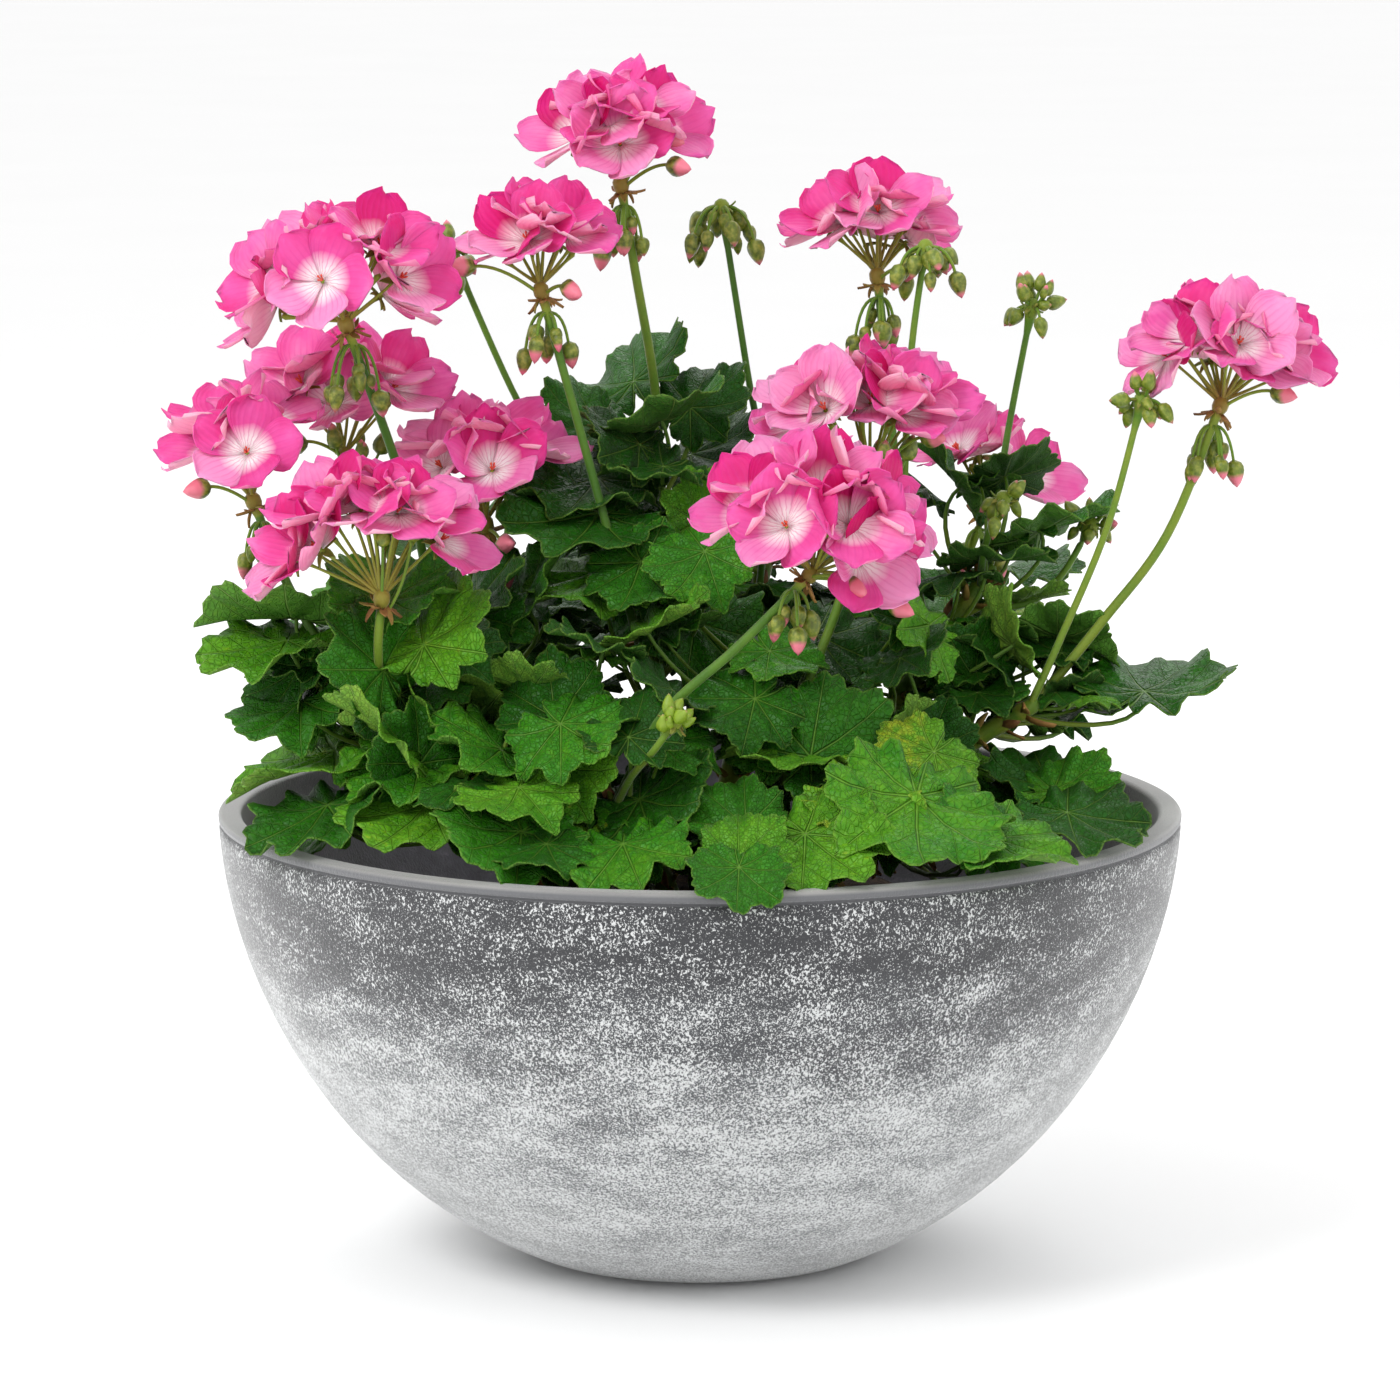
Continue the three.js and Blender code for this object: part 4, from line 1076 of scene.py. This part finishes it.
# %% Leaf materials
def leaf_material(name, greens, vein, roughness):
    made, tree, shader = material(name)
    veins = leaf_veins(tree)
    place = add(tree, "ShaderNodeTexCoord", take="Object")
    cloud, pores, wrinkles = (
        add(tree, "ShaderNodeTexNoise", {"Vector": place, "Scale": per_metre, "Detail": detail})
        for per_metre, detail in ((28, 4), (320, 2), (150, 3))
    )
    tint, edge = (
        add(tree, "ShaderNodeAttribute", take="Fac", attribute_name=label)
        for label in ("tint", "edge")
    )
    depth = weighted(tree, -0.43, (tint, 1), (cloud, 0.5), (pores, 0.36))
    skin = add(tree, "ShaderNodeValToRGB", (depth,), stops=greens)
    rim = add(
        tree, "ShaderNodeMapRange",
        {"Value": edge, "From Min": 0.965, "From Max": 1.0, "To Max": 0.35},
    )
    pale = add(tree, "ShaderNodeMath", (veins, 0.3), operation="MULTIPLY")
    pale = add(tree, "ShaderNodeMath", (pale, rim), operation="MAXIMUM")
    skin = layered(tree, skin, (pale, vein))
    crinkle = weighted(tree, 0.0, (veins, -1), (wrinkles, 1.1))
    bump = add(tree, "ShaderNodeBump", {"Height": crinkle, "Distance": 0.0024, "Strength": 0.9})
    tree.links.new(skin, shader.inputs["Base Color"])
    tree.links.new(bump, shader.inputs["Normal"])
    shader.inputs["Roughness"].default_value = roughness
    shader.inputs["Specular IOR Level"].default_value = 0.22
    return made


leaf_top = leaf_material(
    "leaf_upper_skin",
    ((0.0, "#103a04"), (0.3, "#1b5508"), (0.55, "#31790f"), (0.8, "#5f9c1b"), (1.0, "#b3bb2c")),
    "#7fa040", 0.44,
)
leaf_under = leaf_material(
    "leaf_underside",
    ((0.0, "#254d14"), (0.3, "#36661c"), (0.6, "#508426"), (0.85, "#81a836"), (1.0, "#bdc346")),
    "#98b45f", 0.65,
)

# %% [markdown]
# ### The grown leaves
# Tints are drawn, and then bent a little by where a leaf stands: darker at the back and near the
# top, which is painted shade, and a little lighter on the left, which is painted light. A few
# leaves low at the front have begun to yellow, named here by where their tip is seen. A blade is
# a sheet without thickness so far. Solidify gives it one, and the lighter skin below.

# %% The leaves, set out and given their thickness
YELLOWING, NEAR_ENOUGH = {(79, 217): 0.8, (-120, 195): 0.76, (-92, 180): 0.74, (14, 194): 0.5}, 14
draw = draws(977)
rows = []
for i, (joint, forward, facing, reach, root) in enumerate(leaves):
    tip = joint + forward * reach * 0.6
    # Painted shade and light: leaves at the back are darker, leaves on the left a little lighter.
    tint = draw(0.14, 0.76) - (0.1 if joint.y > 60 else 0.0) + (0.06 if joint.x < -60 else 0.0)
    # Painted shade: the leaves near the top are darker.
    tint = 0.5 * tint if joint.z > 320 else tint
    for (x, z), yellow in YELLOWING.items():
        if joint.y < 0 and math.hypot(tip.x - x, tip.z - z) < NEAR_ENOUGH:
            tint = yellow
    rows.append({
        "place": joint, "turn": faced(forward, facing), "size": reach * 0.95,
        "form": i * 5 % 8, "tint": tint,
    })
leaf_blades = set_out("leaf_blades", rows, leaf_forms, leaf_top)


def thicken(obj, thickness, underneath):
    """Gives an open sheet its real thickness, with its own finish underneath."""
    obj.data.materials.append(underneath)
    shell = obj.modifiers.new("thickness", "SOLIDIFY")
    shell.thickness = thickness
    shell.offset = -1
    shell.material_offset = 1


thicken(leaf_blades, 0.0006, leaf_under)
hand_over(leaf_blades, "leaf", *SHOOTS)

# %% [markdown]
# ### Young leaves
# Between the grown leaves a geranium always pushes small new ones, pale and crumpled. They fill
# the gaps of the crown: each shoot gets a handful by rule, and most grown leaves get a small
# neighbour.

# %% Young leaves
young_forms = family_of("young", [leaf_form(seed, 60, (0.4, 0.75, 1.0)) for seed in range(81, 85)])
draw = draws(613)
rows, young_stem_paths = [], []


def young_stem(root, bend, joint, thick):
    """The path of a young leaf's stem."""
    return [(arched(root, bend, joint, k / 6), thick - 0.3 * k / 6, 0.3) for k in range(7)]


for number, shoot in enumerate(SHOOTS.values()):
    for i in range(9):
        root = along(shoot["spine"], draw(0.45, 0.98))
        turn = GOLDEN_ANGLE * i + number
        out = Vector((math.cos(turn), math.sin(turn) - 0.2, draw(0.2, 1.0))).normalized()
        joint = root + out * draw(16, 34)
        forward = (Vector((out.x, out.y, draw(-0.5, 0.3)))).normalized()
        rows.append({
            "place": joint, "turn": faced(forward, UP + 0.6 * out), "size": draw(14, 24),
            "form": i % 4, "tint": draw(0.2, 0.85),
        })
        young_stem_paths.append(young_stem(root, joint - UP * 6, joint, 0.9))
for i, (joint, forward, facing, reach, root) in enumerate(leaves):
    if joint.z > 330:
        continue
    side = facing.cross(forward) * (1 if i % 2 else -1)
    inward = Vector((-joint.x, CROWN_MIDDLE - joint.y, 0)).normalized()
    away = (forward * draw(-0.2, 0.6) + side * draw(0.6, 1) + inward * 0.2).normalized()
    place = joint + inward * draw(8, 20) + side * draw(2, 10) - UP * draw(0, 9)
    rows.append({
        "place": place, "turn": faced(away, facing + UP * draw(-0.2, 0.5)),
        "size": min(38, reach) * draw(0.62, 0.88), "form": i % 4, "tint": draw(0.05, 0.6),
    })
    bend = place - facing * 0.35 * (place - root).length
    young_stem_paths.append(young_stem(root, bend, place, 0.95))
young_leaves = set_out("young_leaves", rows, young_forms, leaf_top)
thicken(young_leaves, 0.0005, leaf_under)
hand_over(young_leaves, "leaf")
hand_over(stems("young_leaf_stems", young_stem_paths, 6, green_stem), "stalk")

# %% [markdown]
# ## Flower stalks
# Each umbel stands on its own long bare stalk, as thick as a pencil lead, with a slight sway. At
# its top sits the hub, a small knob from which all flower stems and buds spring.

# %% Stalks and hubs
stalk_paths, flower_heads = [], []
for number, (name, plan) in enumerate(STALKS.items()):
    hub = Vector(plan["stalk"][-1])
    below = (Vector(plan["stalk"][-2]) - hub).normalized()
    flowering = "flowers" in plan
    thick = 2.1 if flowering else 1.65
    tint = 0.1 + 0.34 * (number * 0.618 % 1)
    path = [(along(plan["stalk"], i / 24), thick - 0.3 * i / 24, tint) for i in range(23)]
    tint = 0.74 if flowering else 0.45
    knob = ((-7, 2.0, tint - 0.2), (-4.4, 2.5, tint), (-2, 3.4, tint), (0.6, 3.4, tint))
    knob += ((2.4, 2.3, tint), (3.2, 0.6, tint))
    path += [(hub - below * far, radius, tint) for far, radius, tint in knob]
    stalk_paths.append(path)
    flower_heads.append((name, plan, hub, below, flowering))
stalks = stems("flower_stalks", stalk_paths, 10, green_stem)
hand_over(stalks, "stalk", *("stalk_" + name for name in STALKS))

# %% [markdown]
# ## Buds
# Under the open flowers hang the buds that come next: green drops with darker seams, on thin
# arched stems; the oldest ones show pink at the tip. They are set by the golden angle, as the
# plant does it.

# %% Bud skin
bud_skin, tree, shader = material("bud_sepal_skin")
place = add(tree, "ShaderNodeTexCoord", take="Object")
mottled = add(tree, "ShaderNodeTexNoise", {"Vector": place, "Scale": 420, "Detail": 3})
share, ripe, fresh = (
    add(tree, "ShaderNodeAttribute", take="Fac", attribute_name=label)
    for label in ("share", "ripe", "fresh")
)
skin = add(
    tree, "ShaderNodeValToRGB", (mottled,),
    stops=((0.3, "#3d4a12"), (0.5, "#6c7926"), (0.7, "#9a9942")),
)
fresh = add(tree, "ShaderNodeMath", (fresh, 0.75), operation="MULTIPLY")
blush = add(tree, "ShaderNodeMath", (share, ripe))
blush = add(tree, "ShaderNodeMapRange", {"Value": blush, "From Min": 0.92, "From Max": 1.08})
skin = layered(tree, skin, (fresh, "#86a626"), (blush, "#e2778a"))
bump = add(tree, "ShaderNodeBump", {"Height": mottled, "Distance": 0.0004, "Strength": 1.0})
tree.links.new(skin, shader.inputs["Base Color"])
tree.links.new(bump, shader.inputs["Normal"])
shader.inputs["Roughness"].default_value = 0.45

# %% Bud forms
BUD_SIDES = 8


def bud_form(seed, fatness):
    """A ribbed drop, 1 long."""
    draw = draws(seed)

    def profile(share):
        swell = math.sin(math.pi * share**0.8) ** 0.75
        return share, fatness * swell * (0.75 + 0.35 * (1 - share)) + 0.02

    places, faces, flat, more = round_form(7, BUD_SIDES, profile)
    ribs = [1 + 0.09 * (-1) ** j for j in range(BUD_SIDES)]
    for i, p in enumerate(places[1:-1]):
        rib = ribs[i % BUD_SIDES]
        p.y, p.z = p.y * rib * draw(0.97, 1.03), p.z * rib
    return places, faces, flat, more


bud_forms = family_of("bud", [bud_form(51, 0.29), bud_form(52, 0.26), bud_form(53, 0.32)])

# %% Clusters of closed buds
# The plan gives every third bud. The two after it are smaller neighbours, nearer to the hub. Buds
# stand erect where the drop is negative and the umbel has no flowers yet.
draw = draws(389)
bud_rows, bud_stem_paths = [], []
for name, plan, hub, below, flowering in flower_heads:
    count, reach, drop = plan["buds"]
    start = hub + below * (10 if flowering else 0)
    erect, tiny = drop[0] < 0 and not flowering, name == "bud_front"
    shrink = 0.72 if tiny else 0.82 if erect else 1
    for i in range(3 * count):
        share = (i // 3 + 0.5) / count if i % 3 == 0 else draw(0.0, 1.0)
        turn = GOLDEN_ANGLE * (i // 3) + hub.x + (0, 1.3, -1.0)[i % 3]
        down = drop[0] + (drop[1] - drop[0]) * share
        far = (reach[0] + (reach[1] - reach[0]) * share) * (0.8 if flowering else 0.9)
        closer = draw(0.5, 1.0) if i % 3 else 1
        far *= closer * (0.75 if erect else 1)
        down *= closer if down > 0 else 1
        out = Vector((math.cos(turn), math.sin(turn), 0))
        end = start + out * far - UP * down
        shoulder = start + out * 0.75 * far + UP * (0.1 * down if down > 0 else -0.3 * down)
        axis = (out * 0.6 - below).normalized() if tiny else (end - shoulder).normalized()
        length = (10.5 if i % 3 == 0 else draw(6.5, 9.5)) * shrink
        path = [(arched(start, shoulder, end, k / 7), 0.75 - 0.1 * k / 7, 0.35) for k in range(8)]
        bud_stem_paths.append(path)
        bud_rows.append({
            "place": end - axis, "turn": faced(axis, out + UP * 0.3), "size": length + 1.5,
            "form": i % 3, "ripe": draw(0, 0.45 if flowering else 0.22) * (not tiny),
            "fresh": 1.0 if tiny else 0.3 if erect else draw(0, 0.25),
        })
print(len(bud_rows), "closed buds")

# %% Buds about to open, by their umbel, as offsets from its hub
OPENING = {
    "top": ((17, -6, 21), (20, -10, 8)), "high_middle_left": ((10, -10, 2), (-27, -8, 10)),
    "far_right": ((20, -8, 6),), "front_right": ((14, -16, -2), (30, -12, -10)),
    "right_middle": ((21, -12, 18),), "far_left": ((-17, -6, 6),), "left_behind": ((-16, -8, 6),),
    "left_middle": ((7, -12, -7),), "high_right": ((9, -14, 3),),
}
for name, plan, hub, below, flowering in flower_heads:
    for offset in map(Vector, OPENING.get(name, ())):
        root, end = hub + below * 3, hub + offset
        out = Vector((offset.x, offset.y, 0)).normalized()
        axis = (out + Vector((0, -0.3, draw(-0.6, 0.2)))).normalized()
        bend = root.lerp(end, 0.6) + UP * 0.2 * offset.length
        path = [(arched(root, bend, end, k / 9), 0.85 - 0.1 * k / 9, 0.45) for k in range(10)]
        bud_stem_paths.append(path)
        bud_rows.append({
            "place": end - axis, "turn": faced(axis, UP + out * 0.1), "size": 13.5,
            "form": 0, "ripe": draw(0.45, 0.6), "fresh": 0.0,
        })
hand_over(set_out("buds", bud_rows, bud_forms, bud_skin), "stalk")

# %% [markdown]
# ## Flowers
# An open flower has five broad petals that overlap like a pinwheel and form a shallow bowl. Its
# throat is white with fine magenta rays, the petals are pink, deeper in the upper ones, and their
# backs are a paler pink. Five forms of one petal are laid round each flower's middle.

# %% Petal forms
WIDTHS = (0.06, 0.17, 0.3, 0.4, 0.455, 0.45, 0.36, 0.18)


def petal_form(seed):
    """A petal 1 long, from its narrow foot at the origin to its round, wavy edge."""
    draw = draws(seed)
    cup, curl = draw(0.45, 0.66), draw(-0.16, 0.0)
    phase, pinch = draw(0, WHOLE_TURN), draw(0.0, 0.08)

    def place(along_share, across_share):
        i = along_share * 7
        j = min(int(i), 6)
        half = WIDTHS[j] + (WIDTHS[j + 1] - WIDTHS[j]) * (i - j)
        across = 2 * across_share - 1
        y = half * math.sin(across * math.pi / 2) if along_share < 1 else half * across
        x = along_share - 0.1 * across * across * along_share**3
        x -= pinch * (1 - abs(across)) ** 2 * along_share**6
        rise = cup * (0.55 * x * x + 0.42 * x) + curl * along_share**5
        rise += 0.10 * across * across * along_share
        rise += 0.07 * along_share**3 * math.sin(4.5 * across + phase)
        return Vector((x, y, rise))

    return sheet_form(7, 6, place)


petal_forms = family_of("petal", [petal_form(seed) for seed in range(61, 66)])

# %% [markdown]
# ### Petal skin
# Petals are thin, soft and almost silky: no gloss, and light that seeps through. The colour runs
# along the petal from the white throat to the pink edge, crossed by rays that start at its foot,
# so it is drawn on the petal's own map: along in U, across in V.


# %% Petal materials
def petal_material(name, pinks, throat, rays):
    made, tree, shader = material(name)
    flat = add(tree, "ShaderNodeUVMap", uv_map="UVMap")
    u, v = (add(tree, "ShaderNodeSeparateXYZ", (flat,), take=axis) for axis in "XY")
    place = add(tree, "ShaderNodeTexCoord", take="Object")
    blotch = add(tree, "ShaderNodeAttribute", take="Fac", attribute_name="blotch")
    cloud = add(tree, "ShaderNodeTexNoise", {"Vector": place, "Scale": 75, "Detail": 3})
    depth = weighted(tree, -0.27, (blotch, 1), (cloud, 0.55))
    skin = add(tree, "ShaderNodeValToRGB", (depth,), stops=pinks)
    across = weighted(tree, -1.0, (v, 2.0))
    fan = add(
        tree, "ShaderNodeTexWave",
        {
            "Vector": add(tree, "ShaderNodeCombineXYZ", (across,)),
            "Scale": 1.9, "Distortion": 0.6, "Detail": 2.0,
        },
        "Fac",
    )
    white = add(tree, "ShaderNodeMath", (across,), operation="ABSOLUTE")
    white = weighted(tree, 0.3, (white, -0.2), (u, -1), (cloud, 0.2))
    white, fade, line = (
        add(
            tree, "ShaderNodeMapRange",
            {"Value": value, "From Min": low, "From Max": high, "To Min": start, "To Max": end},
        )
        for value, low, high, start, end in (
            (white, -0.12, 0.16, 0.0, throat), (u, 0.2, 1.0, rays, 0.0),
            (fan, 0.72, 0.95, 0.0, 1.0),
        )
    )
    ray = add(tree, "ShaderNodeMath", (line, fade), operation="MULTIPLY")
    skin = layered(tree, skin, (white, "#fff3f4"), (ray, "#cf2f86"))
    bump = add(tree, "ShaderNodeBump", {"Height": fan, "Distance": 0.0002, "Strength": 0.5})
    tree.links.new(skin, shader.inputs["Base Color"])
    tree.links.new(bump, shader.inputs["Normal"])
    shader.inputs["Roughness"].default_value = 0.55
    shader.inputs["Specular IOR Level"].default_value = 0.2
    shader.inputs["Subsurface Weight"].default_value = 0.35
    shader.inputs["Subsurface Radius"].default_value = (0.004, 0.0015, 0.002)
    shader.inputs["Subsurface Scale"].default_value = 1.0
    return made


petal_front = petal_material(
    "petal_pink_front",
    ((0.0, "#f28fbe"), (0.3, "#e7549e"), (0.55, "#da267c"), (0.85, "#bd0a60")), 0.85, 0.45,
)
petal_back = petal_material(
    "petal_pale_back",
    ((0.05, "#f7a9bf"), (0.4, "#ed7ea5"), (0.75, "#de558e"), (1.0, "#cb367a")), 0.4, 0.3,
)

# %% Petals round each flower
PETALS, PETAL_WIDE, PETAL_LONG = 5, 25, 22.8


def flower(middle, facing, forward, side, cup, more):
    """Rows for the petals of one flower. The upper petals are the deeper pink ones."""
    deep, openness = more(0.1, 0.8), more(1.35, 2.25)
    for petal in range(PETALS):
        turn = 2 * math.pi * petal / PETALS
        out = forward * math.cos(turn) + side * math.sin(turn)
        lean = Matrix.Rotation(math.radians(more(5, 13)), 3, out) @ facing
        upper = max(0, out.z) * deep
        yield {
            "place": middle + facing * (0.25 * petal - 0.5) + out * 0.8,
            "turn": faced(out + facing * more(-0.05, 0.12), lean),
            "size": (
                PETAL_LONG * more(0.95, 1.06), PETAL_WIDE * more(0.95, 1.08),
                cup * openness * more(0.9, 1.1),
            ),
            "form": int(more(0, 4.99)),
            "blotch": min(1.0, max(0.0, 0.1 + more(-0.17, 0.34) + upper)),
        }


def flower_stem(root, end, facing):
    """A stem that swells into the long neck behind a flower."""
    bend = root.lerp(end, 0.6) - facing * 0.06 * (end - root).length
    for i in range(11):
        share = i / 10
        radius = 0.82 - 0.25 * share + 0.85 * max(0, (share - 0.72) / 0.28) ** 1.5
        yield arched(root, bend, end, share), radius, 0.72 - 0.2 * share
    yield end + facing * 1.6, 1.0, 0.5


petal_rows, flower_stem_paths, throats = [], [], []
flowering_heads = [head for head in flower_heads if head[-1]]
for number, (name, plan, hub, below, flowering) in enumerate(flowering_heads):
    draw, more = draws(301 + number), draws(701 + number)
    for offset in map(Vector, plan["flowers"]):
        facing = Vector((offset.x, offset.y - 14, 0.95 * offset.z)).normalized()
        cup, spin = draw(10, 14), draw(0, 2 * math.pi)
        side = Matrix.Rotation(spin, 3, facing) @ Vector((facing.z, 0, -facing.x)).normalized()
        forward = side.cross(facing)
        middle = hub + offset - facing * 0.6 * cup
        petal_rows += flower(middle, facing, forward, side, cup, more)
        root, neck = hub + (middle - hub).normalized() * 3, middle - facing * 2
        # Some stems carry flowers that others hide, so each one gets a neighbour close by.
        aside = side * more(4, 8) + forward * more(-6, 6) - facing * 2
        flower_stem_paths += [list(flower_stem(root, end, facing)) for end in (neck, neck + aside)]
        throats.append((middle, facing, side, more(0, WHOLE_TURN)))
petals = set_out("petals", petal_rows, petal_forms, petal_front)
thicken(petals, 0.0003, petal_back)
hand_over(petals, "petal", *("flowers_" + head[0] for head in flowering_heads))
hand_over(stems("flower_stems", flower_stem_paths + bud_stem_paths, 6, green_stem), "stalk")

# %% [markdown]
# ### Stamens, sepals and bracts
# In the white throat stand a few coral-red stamens. Behind the petals five pointed green sepals
# hold them, under each umbel sits a ruff of small dry bracts, and dry scales stand round the
# rings of the branches. All of them are small blades, so they are more forms for the same tree.

# %% Stamens
coral, tree, shader = material("coral_stamen")
place = add(tree, "ShaderNodeTexCoord", take="Object")
pollen = add(tree, "ShaderNodeTexNoise", {"Vector": place, "Scale": 900, "Detail": 2})
red = add(tree, "ShaderNodeValToRGB", (pollen,), stops=((0.35, "#c9302c"), (0.65, "#f0764f")))
tree.links.new(red, shader.inputs["Base Color"])
shader.inputs["Roughness"].default_value = 0.5


def stamen_profile(share):
    """A thread with a knob on its far end."""
    knob = 0.11 if share > 0.7 else 0
    return share, (0.05 + knob) * math.sin(math.pi * share) + 0.01


FIFTH_OF_A_TURN = 1.257
stamen_forms = family_of("stamen", [round_form(5, 5, stamen_profile)])
rows = []
for middle, facing, side, spin in throats:
    for k in range(5):
        out = Matrix.Rotation(spin + FIFTH_OF_A_TURN * k, 3, facing) @ side
        axis = (facing + out * (0.25 + 0.1 * (k % 2))).normalized()
        rows.append({
            "place": middle, "turn": faced(axis, out), "size": 4.2 + 0.5 * (k % 3), "form": 0,
        })
hand_over(set_out("stamens", rows, stamen_forms, coral), "petal")

# %% The skin and forms of sepals and bracts
sepal_skin, tree, shader = material("sepal_green_brown")
place = add(tree, "ShaderNodeTexCoord", take="Object")
tint = add(tree, "ShaderNodeAttribute", take="Fac", attribute_name="tint")
mottled, grit = (
    add(tree, "ShaderNodeTexNoise", {"Vector": place, "Scale": per_metre, "Detail": detail})
    for per_metre, detail in ((300, 3), (800, 2))
)
tint = weighted(tree, -0.2, (tint, 1), (mottled, 0.4))
tone = add(
    tree, "ShaderNodeValToRGB", (tint,),
    stops=((0.1, "#5f7a24"), (0.45, "#8b8a37"), (0.75, "#a0763c"), (1.0, "#7a4f2c")),
)
bump = add(tree, "ShaderNodeBump", {"Height": grit, "Distance": 0.0003, "Strength": 1.0})
tree.links.new(tone, shader.inputs["Base Color"])
tree.links.new(bump, shader.inputs["Normal"])
shader.inputs["Roughness"].default_value = 0.7


def sepal_form(curl):
    """A small pointed blade, 1 long, hollow across and curled along."""

    def place(along_share, across_share):
        half = 0.2 * math.sin(math.pi * min(1, along_share * 0.85 + 0.15)) + 0.01
        across = 2 * across_share - 1
        rise = curl * along_share**2 + 0.12 * across * across
        return Vector((along_share, half * across, rise))

    return sheet_form(4, 2, place)


sepal_forms = family_of("sepal", [sepal_form(0.1), sepal_form(-0.25), sepal_form(0.35)])

# %% Sepals, bracts and the scales on the branches
draw = draws(433)
rows = []
for middle, facing, side, spin in throats:
    for k in range(5):
        out = Matrix.Rotation(spin + FIFTH_OF_A_TURN * k, 3, facing) @ side
        rows.append({
            "place": middle - facing * 2.4, "turn": faced(out + facing * 0.02, facing),
            "size": draw(6.5, 8), "form": 1, "tint": draw(0.2, 0.6),
        })
for name, plan, hub, below, flowering in flower_heads:
    start = hub + below * (4.5 if flowering else 1)
    across = below.orthogonal().normalized()
    for k in range(9):
        out = Matrix.Rotation(0.7 * k + hub.x, 3, below) @ across
        axis = out * draw(0.7, 1) + below * draw(-0.3, 1.1)
        rows.append({
            "place": start + out * 2.2, "turn": faced(axis, -below),
            "size": draw(5, 7.5) if flowering else draw(3.5, 5),
            "form": k % 3, "tint": draw(0.55, 0.95) if flowering else draw(0.1, 0.5),
        })
for shoot in SHOOTS.values():
    for ring_at in RINGS:
        centre = along(shoot["spine"], ring_at)
        axis = (along(shoot["spine"], min(1, ring_at + 0.02)) - centre).normalized()
        across = axis.orthogonal().normalized()
        for k in range(5):
            out = Matrix.Rotation(2.6 * k + 11 * ring_at, 3, axis) @ across
            rows.append({
                "place": centre + out * 3.8, "turn": faced(out + axis * draw(0, 0.9), axis),
                "size": draw(7, 14), "form": k % 3, "tint": draw(0.6, 1.0),
            })
sepals = set_out("sepals_and_bracts", rows, sepal_forms, sepal_skin)
thicken(sepals, 0.0003, sepal_skin)
hand_over(sepals, "stalk")

# %% [markdown]
# ## Floor and light
# The plant stands on a plain pale floor, so wide that it meets the equally pale surround far
# behind the pot without a line. One large soft lamp from the upper left gives the leaves their
# sheen; a weaker one from the right, one from behind and the bright surround keep the shade open,
# as in a catalogue picture.

# %% Floor
FAR = 60
floor = bare_mesh(
    "floor", [(-FAR, -FAR, 0), (FAR, -FAR, 0), (FAR, FAR, 0), (-FAR, FAR, 0)],
    faces=[(0, 1, 2, 3)],
)
pale_floor, tree, shader = material("matt_white_floor")
place = add(tree, "ShaderNodeTexCoord", take="Object")
cloud = add(tree, "ShaderNodeTexNoise", {"Vector": place, "Scale": 3, "Detail": 2})
tone = add(tree, "ShaderNodeValToRGB", (cloud,), stops=((0.2, "#fafafa"), (0.8, "#fcfcfc")))
tree.links.new(tone, shader.inputs["Base Color"])
shader.inputs["Roughness"].default_value = 0.9
floor.data.materials.append(pale_floor)
floor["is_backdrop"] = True

# %% Lamps and surround
MIDDLE_OF_PLANT = Vector((0, 0, 0.25))
for name, place, size, watts in (
    ("key_lamp", (-1.6, -1.8, 2.4), 1.1, 44), ("fill_lamp", (2.2, -1.4, 1.5), 1.8, 6),
    ("back_lamp", (0.3, 2.0, 1.9), 1.4, 14),
):
    lamp = bpy.data.objects.new(name, bpy.data.lights.new(name, "AREA"))
    lamp.data.size, lamp.data.energy = size, watts
    lamp.location = place
    lamp.rotation_euler = (MIDDLE_OF_PLANT - Vector(place)).to_track_quat("-Z", "Y").to_euler()
    bpy.context.scene.collection.objects.link(lamp)
    print(name, watts, "W")
surround = bpy.data.worlds.new("pale_surround")
surround.use_nodes = True
surround.node_tree.nodes["Background"].inputs["Color"].default_value = colour("#ffffff")
surround.node_tree.nodes["Background"].inputs["Strength"].default_value = 1.0
bpy.context.scene.world = surround
bpy.context.scene.view_settings.view_transform = "Standard"

# %% The bounds of everything shown
low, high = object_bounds()
